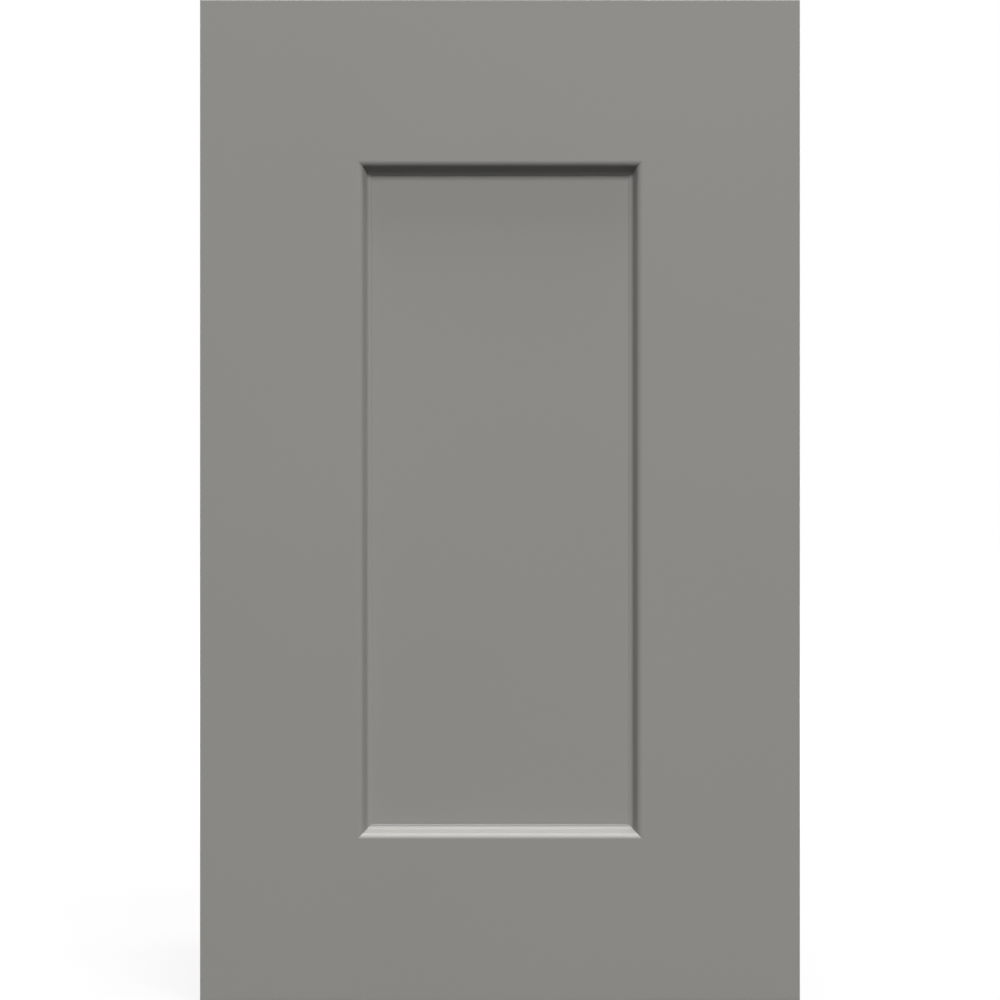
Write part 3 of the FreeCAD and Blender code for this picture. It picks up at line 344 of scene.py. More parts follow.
class Graph:
    """A node tree filled from code."""

    def __init__(self, tree):
        self.tree = tree

    def node(self, kind, settings=None, inputs=None):
        """Adds a node: first its settings, then the values or links of its sockets."""
        made = self.tree.nodes.new(kind)
        for name, setting in (settings or {}).items():
            setattr(made, name, setting)
        for name, given in (inputs or {}).items():
            source = given.socket if isinstance(given, Value) else given
            if isinstance(source, bpy.types.NodeSocket):
                self.tree.links.new(source, made.inputs[name])
            else:
                made.inputs[name].default_value = source
        return made

    def math(self, operation, *numbers):
        """A sum, a product or another step of arithmetic on numbers."""
        made = self.node("ShaderNodeMath", {"operation": operation}, dict(enumerate(numbers)))
        return Value(self, made.outputs[0])

    def mix(self, share, first, second):
        """A colour that goes from the first to the second as the share grows."""
        # A Mix node keeps its colours in sockets 6 and 7, and gives the mixed one from output 2
        settings = {"data_type": "RGBA", "clamp_factor": True}
        made = self.node("ShaderNodeMix", settings, {0: share, 6: opaque(first), 7: opaque(second)})
        return Value(self, made.outputs[2])

    def tint(self, colour, strength):
        """A colour made lighter or darker by a number."""
        made = self.node("ShaderNodeVectorMath", {"operation": "SCALE"}, {0: colour, "Scale": strength})
        return Value(self, made.outputs[0])

    def stretch(self, place, scale):
        """A place with each axis scaled: a pattern on it is drawn out along a small scale."""
        made = self.node("ShaderNodeMapping", {"vector_type": "POINT"}, {"Vector": place, "Scale": scale})
        return Value(self, made.outputs[0])

    def noise(self, place, scale, detail=2.0, distortion=0.0):
        """Soft noise from 0 to 1, with about so many lumps to a metre."""
        inputs = {"Vector": place, "Scale": scale, "Detail": detail, "Distortion": distortion}
        return Value(self, self.node("ShaderNodeTexNoise", None, inputs).outputs["Fac"])

    def ramp(self, number, low, high):
        """Spreads the stretch between low and high over 0 to 1."""
        inputs = {"Value": number, "From Min": low, "From Max": high}
        made = self.node("ShaderNodeMapRange", {"clamp": True, "interpolation_type": "SMOOTHSTEP"}, inputs)
        return Value(self, made.outputs[0])

    def place(self):
        """Where a point lies on the cabinet, in metres."""
        return Value(self, self.node("ShaderNodeTexCoord").outputs["Object"])

    def axes(self):
        """The three numbers of a point's place."""
        parts = self.node("ShaderNodeSeparateXYZ", None, {0: self.place()}).outputs
        return [Value(self, part) for part in parts]


def cleared_graph(owner):
    """The emptied node tree of a material or of the room."""
    owner.use_nodes = True
    owner.node_tree.nodes.clear()
    return Graph(owner.node_tree)


def opaque(colour):
    """A colour as a Mix node takes it: a link stays, and three numbers get their alpha."""
    return colour if isinstance(colour, Value) else (*colour, 1.0)


def grey(level):
    """A neutral colour."""
    return (level,) * 3


def seen_by_eye(graph):
    """1 for rays that come from the camera, straight or by a mirror or a glass."""
    rays = graph.node("ShaderNodeLightPath").outputs
    camera, glossy, through = (Value(graph, rays[f"Is {kind} Ray"])
                               for kind in ("Camera", "Glossy", "Transmission"))
    return camera | glossy | through


class Surface:
    """How a finish looks at each point: its colour, roughness and height."""

    def __init__(self, colour, roughness, height):
        self.colour = colour
        self.roughness = roughness
        self.height = height


def overlay(graph, share, under, over):
    """One surface, with another over it where the share is 1."""
    def between(first, second):
        return first + (second - first) * share

    return Surface(graph.mix(share, under.colour, over.colour),
                   between(under.roughness, over.roughness), between(under.height, over.height))


def finish_material(name, build, relief, metallic=0.0, edge=0.0, coat=0.0, coat_roughness=0.2,
                    gloss=0.5):
    """A material from a function that builds its surface. Its edges look rounded by the edge radius."""
    material = bpy.data.materials.new(name)
    graph = cleared_graph(material)
    surface = build(graph)
    bump = {"Height": surface.height, "Distance": relief, "Strength": 1.0}
    if edge:
        bump["Normal"] = graph.node("ShaderNodeBevel", {"samples": 6}, {"Radius": edge}).outputs[0]
    shader = graph.node("ShaderNodeBsdfPrincipled", None, {
        "Base Color": surface.colour,
        "Roughness": surface.roughness,
        "Metallic": metallic,
        "Specular IOR Level": gloss,
        "Coat Weight": coat,
        "Coat Roughness": coat_roughness,
        "Normal": graph.node("ShaderNodeBump", None, bump).outputs[0],
    })
    graph.node("ShaderNodeOutputMaterial", None, {"Surface": shader.outputs[0]})
    return material


# --------------------------------------------------------------------------- finishes


def lacquer_surface(graph, colours):
    """Sprayed satin lacquer: even, with faint drift in tone and a fine orange peel."""
    place = graph.place()
    drift = graph.noise(place, 7.0, detail=1.0)
    mist = graph.noise(place, 1300.0, detail=1.0)
    peel = graph.noise(place, 520.0, detail=2.0)
    tone = 0.975 + drift * 0.03 + mist * 0.02
    return Surface(graph.tint(tuple(colours.lacquer), tone), 0.42 + drift * 0.08 + mist * 0.05, peel)


def maple_surface(graph, colours, grain):
    """Clear-lacquered maple: long soft figure, fine fibres and short dark flecks along the grain."""
    place = graph.place()

    def drawn_out(along):
        return graph.stretch(place, tuple(along if axis == grain else 1.0 for axis in "XYZ"))

    wide = drawn_out(0.11)
    fine = drawn_out(0.02)
    figure = graph.noise(wide, 22.0, detail=3.0, distortion=1.4)
    rings = graph.math("PINGPONG", figure * 9.0, 1.0)
    fibres = graph.noise(fine, 1500.0, detail=3.0)
    flecks = graph.ramp(graph.noise(fine, 620.0, detail=1.0), 0.66, 0.80)
    cloud = graph.noise(wide, 6.0, detail=1.0)
    share = rings * 0.32 + fibres * 0.45 + cloud * 0.35 - 0.2
    wood = graph.mix(share, tuple(colours.maple_light), tuple(colours.maple_dark))
    wood = graph.mix(flecks * 0.35, wood, tuple(colours.ply_dark))
    return Surface(wood, 0.40 + fibres * 0.14, fibres - flecks * 0.6)


def ply_surface(graph, colours, across, thickness):
    """The sanded edge of a board: light and dark layers across its thickness."""
    place = graph.place()
    depth = graph.axes()["XYZ".index(across)]
    fibre = graph.noise(place, 900.0, detail=2.0)
    wobble = graph.noise(place, 40.0, detail=1.0) * 0.25
    layer = graph.math("PINGPONG", depth / thickness + wobble, 1.0)
    dark = graph.ramp(layer, 0.46, 0.54)
    ply = graph.mix(dark * (0.55 + fibre * 0.4), tuple(colours.maple_light), tuple(colours.ply_dark))
    return Surface(ply, 0.62 + fibre * 0.2, fibre - dark * 0.5)


def board_material(name, settings, grain, across, outside=None, edge=None):
    """A maple board, lacquered where outside is true and with its plies showing where edge is."""
    def build(graph):
        place = graph.axes()
        surface = maple_surface(graph, settings.colours, grain)
        if edge:
            plies = ply_surface(graph, settings.colours, across, settings.sizes.ply_thickness)
            surface = overlay(graph, edge(*place), surface, plies)
        if outside:
            surface = overlay(graph, outside(*place), surface, lacquer_surface(graph, settings.colours))
        return surface

    return finish_material(name, build, RELIEF["board"], edge=settings.sizes.board_edge,
                           coat=0.08, coat_roughness=0.25)


def plated_material(name, settings, tone, stain, roughness):
    """Plated steel: faint drawing lines, clouded plating and a few handling marks."""
    def build(graph):
        place = graph.place()
        lines = graph.noise(graph.stretch(place, (1.0, 1.0, 0.05)), 2600.0, detail=2.0)
        cloud = graph.noise(place, 130.0, detail=3.0)
        marks = graph.ramp(graph.noise(place, 420.0, detail=4.0, distortion=1.0), 0.60, 0.72)
        colour = graph.mix(cloud * 0.8, tuple(tone), stain)
        wear = roughness - 0.04 + lines * 0.10 + marks * 0.12
        return Surface(colour, wear, lines * 0.6 + marks * 0.3)

    return finish_material(name, build, RELIEF["plating"], metallic=1.0, edge=settings.sizes.soft_edge)


def moulded_material(name, settings, tone, roughness):
    """Moulded plastic or rubber with a fine sparked texture."""
    def build(graph):
        place = graph.place()
        grit = graph.noise(place, 2400.0, detail=3.0)
        flow = graph.noise(place, 60.0, detail=1.0)
        return Surface(graph.tint(tuple(tone), 0.93 + flow * 0.1 + grit * 0.05),
                       roughness - 0.06 + grit * 0.12, grit)

    return finish_material(name, build, RELIEF["moulding"], edge=settings.sizes.soft_edge)


def dress(material, *nodes):
    """Gives CAD nodes a material in place of their plain one."""
    for name in nodes:
        mesh = frame["nodes"][name].data
        mesh.materials.clear()
        mesh.materials.append(material)


# --------------------------------------------------------------------------- geometry trees


def new_tree(name, inputs):
    """A geometry tree with named inputs, and its graph and the sockets that carry them."""
    tree = bpy.data.node_groups.new(name, "GeometryNodeTree")
    tree.interface.new_socket("Geometry", in_out="INPUT", socket_type="NodeSocketGeometry")
    for label, kind in inputs.items():
        tree.interface.new_socket(label, in_out="INPUT", socket_type=f"NodeSocket{kind}")
    tree.interface.new_socket("Geometry", in_out="OUTPUT", socket_type="NodeSocketGeometry")
    graph = Graph(tree)
    return tree, graph, graph.node("NodeGroupInput").outputs


def end_tree(graph, geometry, material):
    """Ends a tree with real faces that carry their material."""
    real = graph.node("GeometryNodeRealizeInstances", None, {"Geometry": geometry})
    painted = graph.node("GeometryNodeSetMaterial", None,
                         {"Geometry": real.outputs[0], "Material": material})
    graph.node("NodeGroupOutput", None, {0: painted.outputs[0]})


def on_points(graph, given, instance):
    """Sets a shape on each point of the piece, its Z axis turned to the given direction."""
    turn = graph.node("FunctionNodeAlignRotationToVector", {"axis": "Z"}, {"Vector": given["Direction"]})
    copies = graph.node("GeometryNodeInstanceOnPoints", None, {
        "Points": given["Geometry"], "Instance": instance, "Rotation": turn.outputs[0]})
    return copies.outputs[0]


def screw_tree():
    """Copies of one screw, each left by its driver at its own turn."""
    tree, graph, given = new_tree("Screws on points", {
        "Screw": "Object", "Direction": "Vector", "Seed": "Int", "Material": "Material"})
    screw = graph.node("GeometryNodeObjectInfo", None, {"Object": given["Screw"]})
    copies = on_points(graph, given, screw.outputs["Geometry"])
    turns = graph.node("FunctionNodeRandomValue", {"data_type": "FLOAT"},
                       {2: 0.0, 3: math.pi / 2, "Seed": given["Seed"]})
    about = graph.node("ShaderNodeCombineXYZ", None, {"Z": turns.outputs[1]})
    spin = graph.node("FunctionNodeEulerToRotation", None, {"Euler": about.outputs[0]})
    spun = graph.node("GeometryNodeRotateInstances", None,
                      {"Instances": copies, "Rotation": spin.outputs[0], "Local Space": True})
    end_tree(graph, spun.outputs[0], given["Material"])
    return tree


def ring_tree():
    """A round bead in a ring on each point."""
    tree, graph, given = new_tree("Ring on points", {
        "Radius": "Float", "Bead": "Float", "Direction": "Vector", "Material": "Material"})
    path = graph.node("GeometryNodeCurvePrimitiveCircle", None,
                      {"Resolution": RING_STEPS, "Radius": given["Radius"]})
    bead = graph.node("GeometryNodeCurvePrimitiveCircle", None,
                      {"Resolution": BEAD_STEPS, "Radius": given["Bead"]})
    ring = graph.node("GeometryNodeCurveToMesh", None,
                      {"Curve": path.outputs[0], "Profile Curve": bead.outputs[0]})
    end_tree(graph, on_points(graph, given, ring.outputs[0]), given["Material"])
    return tree


def rib_tree():
    """Round ribs side by side round a circle on each point."""
    tree, graph, given = new_tree("Ribs round points", {
        "Count": "Int", "Radius": "Float", "Rib": "Float", "Length": "Float", "Direction": "Vector",
        "Material": "Material"})
    path = graph.node("GeometryNodeCurvePrimitiveCircle", None,
                      {"Resolution": given["Count"], "Radius": given["Radius"]})
    rib = graph.node("GeometryNodeMeshCylinder", None,
                     {"Vertices": BEAD_STEPS, "Radius": given["Rib"], "Depth": given["Length"]})
    ribs = graph.node("GeometryNodeInstanceOnPoints", None,
                      {"Points": path.outputs[0], "Instance": rib.outputs["Mesh"]})
    end_tree(graph, on_points(graph, given, ribs.outputs[0]), given["Material"])
    return tree


def bead_tree():
    """A profile swept round a rectangle in the door's plane, mitred at its corners."""
    tree, graph, given = new_tree("Bead round a rectangle", {
        "Profile": "Object", "Towards": "Vector", "Material": "Material"})
    path = graph.node("GeometryNodeMeshToCurve", None, {"Mesh": given["Geometry"]})
    facing = graph.node("GeometryNodeSetCurveNormal", {"mode": "FREE"},
                        {"Curve": path.outputs[0], "Normal": given["Towards"]})
    profile = graph.node("GeometryNodeObjectInfo", None, {"Object": given["Profile"]})
    sweep = graph.node("GeometryNodeCurveToMesh", None, {
        "Curve": facing.outputs[0], "Profile Curve": profile.outputs["Geometry"], "Scale": MITRE})
    end_tree(graph, sweep.outputs[0], given["Material"])
    return tree


def grow(name, tree, points, inputs, edges=()):
    """Runs a tree on a set of points and keeps its result as a plain mesh."""
    mesh = bpy.data.meshes.new(f"{name}_points")
    mesh.from_pydata([tuple(point) for point in points], edges, [])
    piece = scratch_object(name, mesh)
    modifier = piece.modifiers.new("Build", "NODES")
    modifier.node_group = tree
    for item in tree.interface.items_tree:
        if item.in_out == "INPUT" and item.name in inputs:
            modifier[item.identifier] = inputs[item.name]
    bpy.context.view_layer.update()
    evaluated = piece.evaluated_get(bpy.context.evaluated_depsgraph_get())
    result = bpy.data.meshes.new_from_object(evaluated)
    if not result.polygons:
        raise RuntimeError(f"{name} came out empty")
    piece.modifiers.remove(modifier)
    piece.data = result
    shape = bmesh.new()
    shape.from_mesh(result)
    bmesh.ops.recalc_face_normals(shape, faces=shape.faces)
    shape.to_mesh(result)
    shape.free()
    result.shade_smooth()
    result.set_sharp_from_angle(angle=SHARP)
    return piece


# --------------------------------------------------------------------------- shapes


def scratch_object(name, data):
    """An object in the scene that holds a mesh, a curve, a lamp or a camera."""
    thing = bpy.data.objects.new(name, data)
    bpy.context.scene.collection.objects.link(thing)
    return thing


def solids(node):
    """The lowest and highest corners of each separate solid of a CAD node."""
    shape = bmesh.new()
    shape.from_mesh(frame["nodes"][node].data)
    bmesh.ops.remove_doubles(shape, verts=shape.verts, dist=MERGE)
    waiting = set(shape.verts)
    boxes = []
    while waiting:
        reached = [waiting.pop()]
        low, high = reached[0].co.copy(), reached[0].co.copy()
        while reached:
            vertex = reached.pop()
            low = Vector(map(min, low, vertex.co))
            high = Vector(map(max, high, vertex.co))
            for edge in vertex.link_edges:
                other = edge.other_vert(vertex)
                if other in waiting:
                    waiting.remove(other)
                    reached.append(other)
        boxes.append((low, high))
    shape.free()
    return sorted(boxes, key=lambda box: tuple(round(number, 5) for number in box[0]))


def turned_mesh(name, outline, count):
    """A closed turned solid about Z, from (radius, height) points that start and end on the axis."""
    shape = bmesh.new()
    rings = []
    for radius, height in outline:
        turns = [2 * math.pi * step / count for step in range(count)] if radius else [0.0]
        rings.append([shape.verts.new((radius * math.cos(turn), radius * math.sin(turn), height))
                      for turn in turns])
    for lower, upper in zip(rings, rings[1:]):
        for step in range(count):
            after = step + 1
            corners = [lower[step % len(lower)], lower[after % len(lower)],
                       upper[after % len(upper)], upper[step % len(upper)]]
            shape.faces.new(list(dict.fromkeys(corners)))
    return mesh_from(shape, name)


def mesh_from(shape, name):
    """Closes off a bmesh as a mesh whose faces point outwards."""
    bmesh.ops.recalc_face_normals(shape, faces=shape.faces)
    mesh = bpy.data.meshes.new(name)
    shape.to_mesh(mesh)
    shape.free()
    return mesh


def bridge(shape, upper, lower):
    """Joins two rings of as many corners with a wall."""
    for step in range(len(upper)):
        after = (step + 1) % len(upper)
        shape.faces.new((upper[after], upper[step], lower[step], lower[after]))


def cross_mesh(reach, half_width, top, depth, taper=0.6):
    """A tapered plus sign that cuts a crossed recess down into a screw's head."""
    shape = bmesh.new()
    arm = ((reach, -half_width), (reach, half_width), (half_width, half_width))
    plan = []
    for quarter in range(4):
        turn = Matrix.Rotation(quarter * math.pi / 2, 2)
        plan += [turn @ Vector(corner) for corner in arm]
    upper = [shape.verts.new((*point, top)) for point in plan]
    lower = [shape.verts.new((*(point * taper), top - depth)) for point in plan]
    shape.faces.new(upper)
    shape.faces.new(lower[::-1])
    bridge(shape, upper, lower)
    return mesh_from(shape, "cross_recess")


def shank_mesh(radius, length, pitch, depth, count=24, rows_per_turn=6, tip_share=0.4):
    """A shank that hangs from the origin, with a helical thread and a tapered end."""
    shape = bmesh.new()
    rows = math.ceil(length / pitch * rows_per_turn)
    tip_length = 1.5 * radius
    rings = []
    for row in range(rows + 1):
        drop = length * row / rows
        taper = min(1.0, tip_share + (1 - tip_share) * (length - drop) / tip_length)
        ring = []
        for step in range(count):
            turn = 2 * math.pi * step / count
            # The thread's ridge stands on the middle half of each turn
            phase = (drop / pitch + step / count) % 1.0
            crest = max(0.0, 1 - abs(phase - 0.5) * 4)
            reach = (radius - depth * (1 - crest)) * taper
            ring.append(shape.verts.new((reach * math.cos(turn), reach * math.sin(turn), -drop)))
        rings.append(ring)
    for upper, lower in zip(rings, rings[1:]):
        bridge(shape, upper, lower)
    shape.faces.new(rings[0])
    shape.faces.new(rings[-1][::-1])
    return mesh_from(shape, "shank")


def screw_object(head_radius, head_height, shank_radius, length, sizes, dome_steps=10, count=48):
    """One pan-head screw with its seat at the origin: a domed head, a crossed recess and a thread."""
    lip = head_height * 0.12
    rim = head_height * 0.36
    dome = [(head_radius * math.cos(turn), rim + (head_height - rim) * math.sin(turn))
            for turn in (math.pi / 2 * step / dome_steps for step in range(dome_steps))]
    outline = [(0, 0), (head_radius - lip, 0), (head_radius, lip), *dome, (0, head_height)]
    head = scratch_object("screw_head", turned_mesh("screw_head", outline, count))
    cutter = scratch_object("screw_cross", cross_mesh(
        reach=head_radius * 0.55, half_width=head_radius * 0.11,
        top=head_height * 1.1, depth=head_height * 0.85))
    recess = head.modifiers.new("Recess", "BOOLEAN")
    recess.object = cutter
    recess.solver = "EXACT"
    bpy.context.view_layer.update()
    mesh = bpy.data.meshes.new_from_object(head.evaluated_get(bpy.context.evaluated_depsgraph_get()))
    shape = bmesh.new()
    shape.from_mesh(mesh)
    shape.from_mesh(shank_mesh(shank_radius, length, sizes.thread_pitch, sizes.thread_depth))
    shape.to_mesh(mesh)
    shape.free()
    bpy.data.objects.remove(head)
    bpy.data.objects.remove(cutter)
    return scratch_object("screw", mesh)


def profile_object(points):
    """A closed outline for a sweep: X stands off the door and Y goes outwards, in metres."""
    curve = bpy.data.curves.new("bead_profile", "CURVE")
    curve.dimensions = "3D"
    spline = curve.splines.new("POLY")
    spline.points.add(len(points) - 1)
    for point, (height, outward) in zip(spline.points, points):
        point.co = (height / MITRE, outward, 0, 1)
    spline.use_cyclic_u = True
    return scratch_object("bead_profile", curve)


def bead_outline(radius):
    """A concave fillet that leaves the flat panel and climbs the upright side round it."""
    turns = [math.pi / 2 * step / BEAD_STEPS for step in range(BEAD_STEPS + 1)]
    arc = [(radius * (1 - math.cos(turn)), radius * (math.sin(turn) - 1)) for turn in turns]
    return arc + [(radius, BURIED), (-BURIED, BURIED), (-BURIED, -radius)]


def pose_piece(piece, body, slot, *replaced):
    """Gives a finished piece its body, and hides the CAD nodes that it stands for. The slot is not used.
    """
    if replaced:
        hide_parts(*replaced)
    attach(piece, body)


# --------------------------------------------------------------------------- operators


class CabinetOperator:
    """What the cabinet's operators share"""

    bl_options = {"REGISTER", "UNDO"}

    def execute(self, context):
        self.make(context.scene.cabinet)
        return {"FINISHED"}


class CABINET_OT_finishes(CabinetOperator, bpy.types.Operator):
    """Gives every CAD part of the cabinet its finish"""

    bl_idname = "cabinet.finishes"
    bl_label = "Finishes"

    def make(self, cabinet):
        colours = cabinet.colours
        left, right = LEFT_SIDE[0].x + SKIN, RIGHT_SIDE[1].x - SKIN
        under, over = LEFT_SIDE[0].z + SKIN, LEFT_SIDE[1].z - SKIN
        rear = LEFT_SIDE[1].y - SKIN
        shelf_rear = SHELF[1].y - SKIN

        def outer_face(x, y, z):
            return (x < left) | (x > right) | (z < under) | (z > over)

        def rear_edge(x, y, z):
            return y > rear

        def shelf_rear_edge(x, y, z):
            return y > shelf_rear

        dress(finish_material("satin_lacquer", lambda graph: lacquer_surface(graph, colours),
                              RELIEF["lacquer"], gloss=0.4),
              "hinge_stile", "latch_stile", "door_top_rail", "door_bottom_rail", "door_centre_panel",
              "left_edge_band", "right_edge_band", "top_edge_band", "bottom_edge_band")
        dress(board_material("side_boards", cabinet, "Z", "X", outer_face, rear_edge),
              "left_side_panel", "right_side_panel")
        dress(board_material("end_boards", cabinet, "X", "Z", outer_face, rear_edge),
              "top_panel", "bottom_panel")
        dress(board_material("back_panel_maple", cabinet, "Z", "Y"), "back_panel")
        dress(board_material("rail_boards", cabinet, "X", "Y"), "upper_hanging_rail", "lower_hanging_rail")
        dress(board_material("shelf_boards", cabinet, "X", "Z", edge=shelf_rear_edge),
              "upper_shelf", "lower_shelf")
        dress(board_material("shelf_edges", cabinet, "X", "Z"),
              "upper_shelf_edge_band", "lower_shelf_edge_band")
        dress(finish_material("beech_dowel", lambda graph: maple_surface(graph, colours, "X"),
                              RELIEF["dowel"]), "dowels")
        for name, (tone, stain, roughness, nodes) in PLATED.items():
            dress(plated_material(name, cabinet, getattr(colours, tone), stain, roughness), *nodes)
        for name, (tone, roughness, node) in MOULDED.items():
            dress(moulded_material(name, cabinet, getattr(colours, tone), roughness), node)


class CABINET_OT_lacquer_beads(CabinetOperator, bpy.types.Operator):
    """Runs the lacquer's fillet round the centre panel, on the front and on the back of the door"""

    bl_idname = "cabinet.lacquer_beads"
    bl_label = "Lacquer beads"

    def make(self, cabinet):
        sizes = cabinet.sizes
        tree = bead_tree()
        beads = {"front_lacquer_bead": (CENTRE_PANEL[0].y, -1, sizes.front_bead),
                 "back_lacquer_bead": (CENTRE_PANEL[1].y, 1, sizes.back_bead)}
        for name, (y, towards, radius) in beads.items():
            corners = [(towards * across * SIGHT_HALF_WIDTH, y, MIDDLE + up * SIGHT_HALF_HEIGHT)
                       for across, up in ((1, -1), (-1, -1), (-1, 1), (1, 1))]
            profile = profile_object(bead_outline(radius))
            piece = grow(name, tree, corners, {
                "Profile": profile, "Towards": (0.0, float(towards), 0.0),
                "Material": bpy.data.materials["satin_lacquer"]}, LOOP)
            bpy.data.objects.remove(profile)
            pose_piece(piece, "door", "door_lacquer")


class CABINET_OT_screws(CabinetOperator, bpy.types.Operator):
    """Puts a crossed, threaded screw wherever the CAD model has a plain pan-head one"""

    bl_idname = "cabinet.screws"
    bl_label = "Screws"

    def make(self, cabinet):
        tree = screw_tree()
        zinc = bpy.data.materials["zinc_plating"]
        for seed, (node, (body, direction, head, shank)) in enumerate(SCREWS.items()):
            boxes = solids(node)
            axis = max(range(3), key=lambda index: abs(direction[index]))
            low, high = boxes[0]
            across = (axis + 1) % 3
            screw = screw_object((high[across] - low[across]) / 2, head, shank,
                                 high[axis] - low[axis] - head, cabinet.sizes)
            seats = []
            for low, high in boxes:
                seat = (low + high) / 2
                seat[axis] = high[axis] - head if direction[axis] > 0 else low[axis] + head
                seats.append(seat)
            piece = grow(f"{node}_crossed", tree, seats,
                         {"Screw": screw, "Direction": direction, "Seed": seed, "Material": zinc})
            bpy.data.objects.remove(screw)
            pose_piece(piece, body, "screw_zinc", node)


class CABINET_OT_cap_rings(CabinetOperator, bpy.types.Operator):
    """Puts the raised ring on each cam cap"""

    bl_idname = "cabinet.cap_rings"
    bl_label = "Cap rings"

    def make(self, cabinet):
        sizes = cabinet.sizes
        tree = ring_tree()
        middle = (CAD_BOX[0].z + CAD_BOX[1].z) / 2
        caps = solids("cam_caps")
        centres = []
        for low, high in caps:
            centre = (low + high) / 2
            centre.z = high.z if centre.z > middle else low.z
            centres.append(centre)
        low, high = caps[0]
        radius = (high.x - low.x) / 2 * RING_SHARE
        piece = grow("cam_cap_rings", tree, centres, {
            "Radius": radius, "Bead": sizes.cap_bead, "Direction": (0.0, 0.0, 1.0),
            "Material": bpy.data.materials["cap_moulding"]})
        pose_piece(piece, "carcass", "cap_plastic")


class CABINET_OT_plunger_ribs(CabinetOperator, bpy.types.Operator):
    """Runs grip ribs round the head of the latch plunger"""

    bl_idname = "cabinet.plunger_ribs"
    bl_label = "Plunger ribs"

    def make(self, cabinet):
        sizes = cabinet.sizes
        low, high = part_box("latch_plunger")
        centre = (low + high) / 2
        centre.y = low.y + sizes.plunger_head / 2
        sunk = sizes.rib_radius * 0.4
        length = sizes.plunger_head * 0.8
        piece = grow("latch_plunger_ribs", rib_tree(), [centre], {
            "Count": sizes.rib_count, "Radius": (high.x - low.x) / 2 - sunk, "Rib": sizes.rib_radius,
            "Length": length, "Direction": (0.0, 1.0, 0.0),
            "Material": bpy.data.materials["plunger_moulding"]})
        pose_piece(piece, "latch_plunger", "plunger_plastic")


class CABINET_OT_latch_spring(CabinetOperator, bpy.types.Operator):
    """Makes the latch's spring: a copy of the CAD one that rides on the plunger"""

    bl_idname = "cabinet.latch_spring"
    bl_label = "Latch spring"

    def make(self, cabinet):
        near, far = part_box("latch_spring")
        stroke = next(joint["range_m"][1] for joint in frame["joints"] if joint["name"] == "latch_press")
        spring = scratch_object("latch_spring_coil", frame["nodes"]["latch_spring"].data.copy())
        pose_piece(spring, "latch_plunger", "spring_steel", "latch_spring")
        1 - stroke / (far.y - near.y)
        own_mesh(spring)


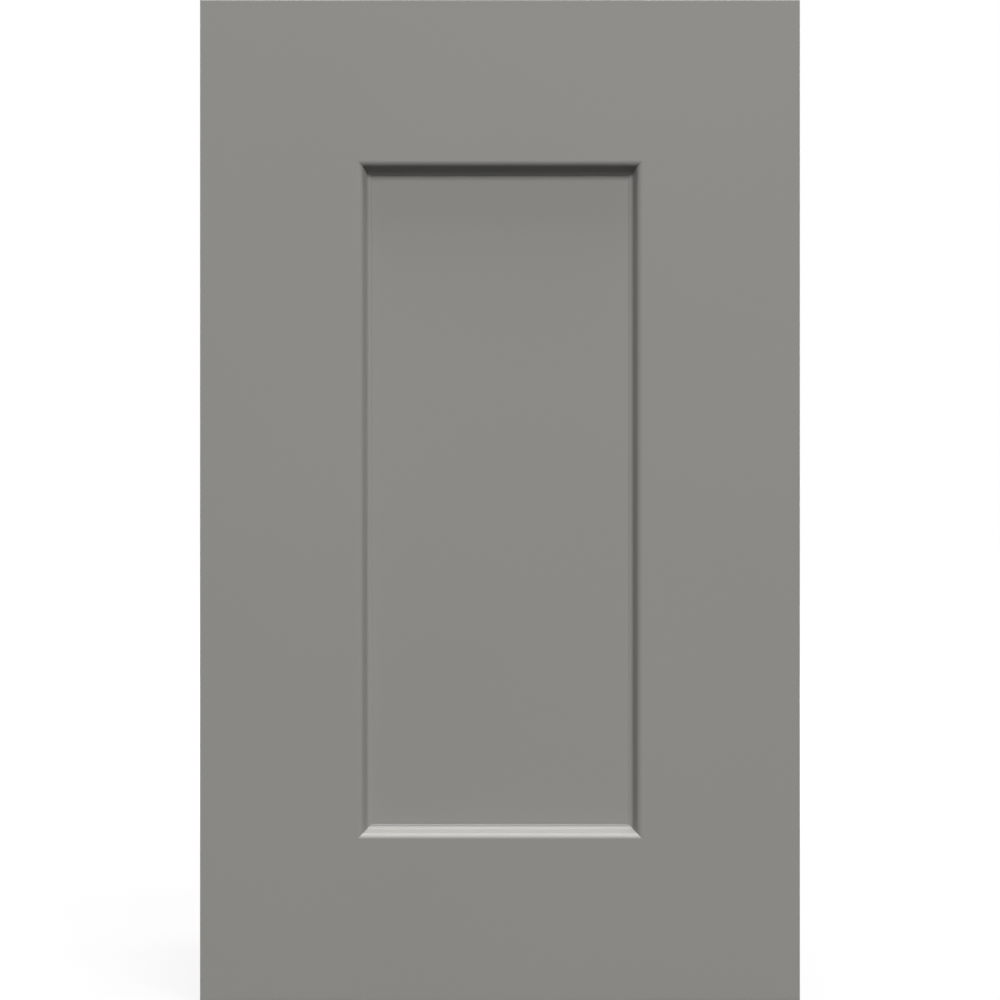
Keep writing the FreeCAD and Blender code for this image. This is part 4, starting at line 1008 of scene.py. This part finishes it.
class CABINET_OT_stage(CabinetOperator, bpy.types.Operator):
    """Sets up the floor, the lamps and the camera"""

    bl_idname = "cabinet.stage"
    bl_label = "Stage"

    def make(self, cabinet):
        stage = cabinet.stage
        self.add_floor(stage)
        self.add_room(stage)
        for name, lamp in LAMPS.items():
            self.add_lamp(name, getattr(stage, f"{name}_power"), *lamp)
        self.add_camera(stage)

    def add_floor(self, stage):
        """A white floor that keeps the cabinet's shadow and throws little light back."""
        half = stage.floor_size / 2
        mesh = bpy.data.meshes.new("studio_floor")
        mesh.from_pydata([(-half, -half, 0), (half, -half, 0), (half, half, 0), (-half, half, 0)],
                         [], [(0, 1, 2, 3)])
        floor = scratch_object("studio_floor", mesh)
        floor.location.z = -FLOOR_GAP
        material = bpy.data.materials.new("studio_floor")
        graph = cleared_graph(material)
        lit = graph.mix(seen_by_eye(graph), grey(stage.floor_bounce), grey(stage.floor_shade))
        pale = graph.node("ShaderNodeBsdfDiffuse", None, {"Color": lit})
        place = graph.place()
        distance = Value(graph, graph.node("ShaderNodeVectorMath", {"operation": "LENGTH"},
                                           {0: place}).outputs["Value"])
        white = graph.mix(graph.ramp(distance, *FADE), grey(stage.floor_glow), grey(1.0))
        shown = graph.mix(seen_by_eye(graph), grey(0.0), white)
        glow = graph.node("ShaderNodeEmission", None, {"Color": shown, "Strength": 1.0})
        both = graph.node("ShaderNodeAddShader", None, {0: pale.outputs[0], 1: glow.outputs[0]})
        graph.node("ShaderNodeOutputMaterial", None, {"Surface": both.outputs[0]})
        mesh.materials.append(material)

    def add_room(self, stage):
        """A room that looks white and lights the cabinet dimly from every side."""
        world = bpy.data.worlds.new("studio_room")
        graph = cleared_graph(world)
        shown = graph.mix(seen_by_eye(graph), grey(stage.ambient), grey(1.0))
        light = graph.node("ShaderNodeBackground", None, {"Color": shown, "Strength": 1.0})
        graph.node("ShaderNodeOutputWorld", None, {"Surface": light.outputs[0]})
        bpy.context.scene.world = world

    def add_lamp(self, name, power, place, width, height):
        """A white lamp that points at the middle of the door's face."""
        data = bpy.data.lights.new(f"{name}_lamp", "AREA")
        data.shape = "RECTANGLE"
        data.size = width
        data.size_y = height
        data.energy = power
        lamp = scratch_object(f"{name}_lamp", data)
        lamp.location = place
        aim = Vector((0, DOOR_FRONT, MIDDLE)) - lamp.location
        lamp.rotation_euler = aim.to_track_quat("-Z", "Y").to_euler()

    def add_camera(self, stage):
        """A camera straight in front of the door, in a scene that shows colours as they are."""
        data = bpy.data.cameras.new("camera")
        data.sensor_width = SENSOR_WIDTH
        data.lens = data.sensor_width * stage.camera_distance * DOOR_SHARE / DOOR_WIDTH
        camera = scratch_object("camera", data)
        camera.location = (0, DOOR_FRONT - stage.camera_distance, MIDDLE)
        camera.rotation_euler = (math.radians(90), 0, 0)
        bpy.context.scene.camera = camera
        bpy.context.scene.view_settings.view_transform = "Standard"


class CABINET_PT_panel(bpy.types.Panel):
    """Lists the cabinet's operators and settings"""

    bl_idname = "CABINET_PT_panel"
    bl_label = "Pantry Cabinet"
    bl_space_type = "VIEW_3D"
    bl_region_type = "UI"
    bl_category = "Cabinet"

    def draw(self, context):
        for operator in OPERATORS:
            self.layout.operator(operator.bl_idname)
        cabinet = context.scene.cabinet
        for title in ("colours", "sizes", "stage"):
            group = getattr(cabinet, title)
            box = self.layout.box()
            box.label(text=title.capitalize())
            for name in type(group).__annotations__:
                box.prop(group, name)


OPERATORS = (CABINET_OT_finishes, CABINET_OT_lacquer_beads, CABINET_OT_screws, CABINET_OT_cap_rings,
             CABINET_OT_plunger_ribs, CABINET_OT_latch_spring, CABINET_OT_stage)
CLASSES = (CabinetColours, CabinetSizes, CabinetStage, CabinetSettings, *OPERATORS, CABINET_PT_panel)


def register():
    for made in CLASSES:
        bpy.utils.register_class(made)
    bpy.types.Scene.cabinet = PointerProperty(type=CabinetSettings)


def unregister():
    del bpy.types.Scene.cabinet
    for made in reversed(CLASSES):
        bpy.utils.unregister_class(made)


def main():
    register()
    for operator in OPERATORS:
        family, name = operator.bl_idname.split(".")
        getattr(getattr(bpy.ops, family), name)()


if __name__ == "__main__":
    main()
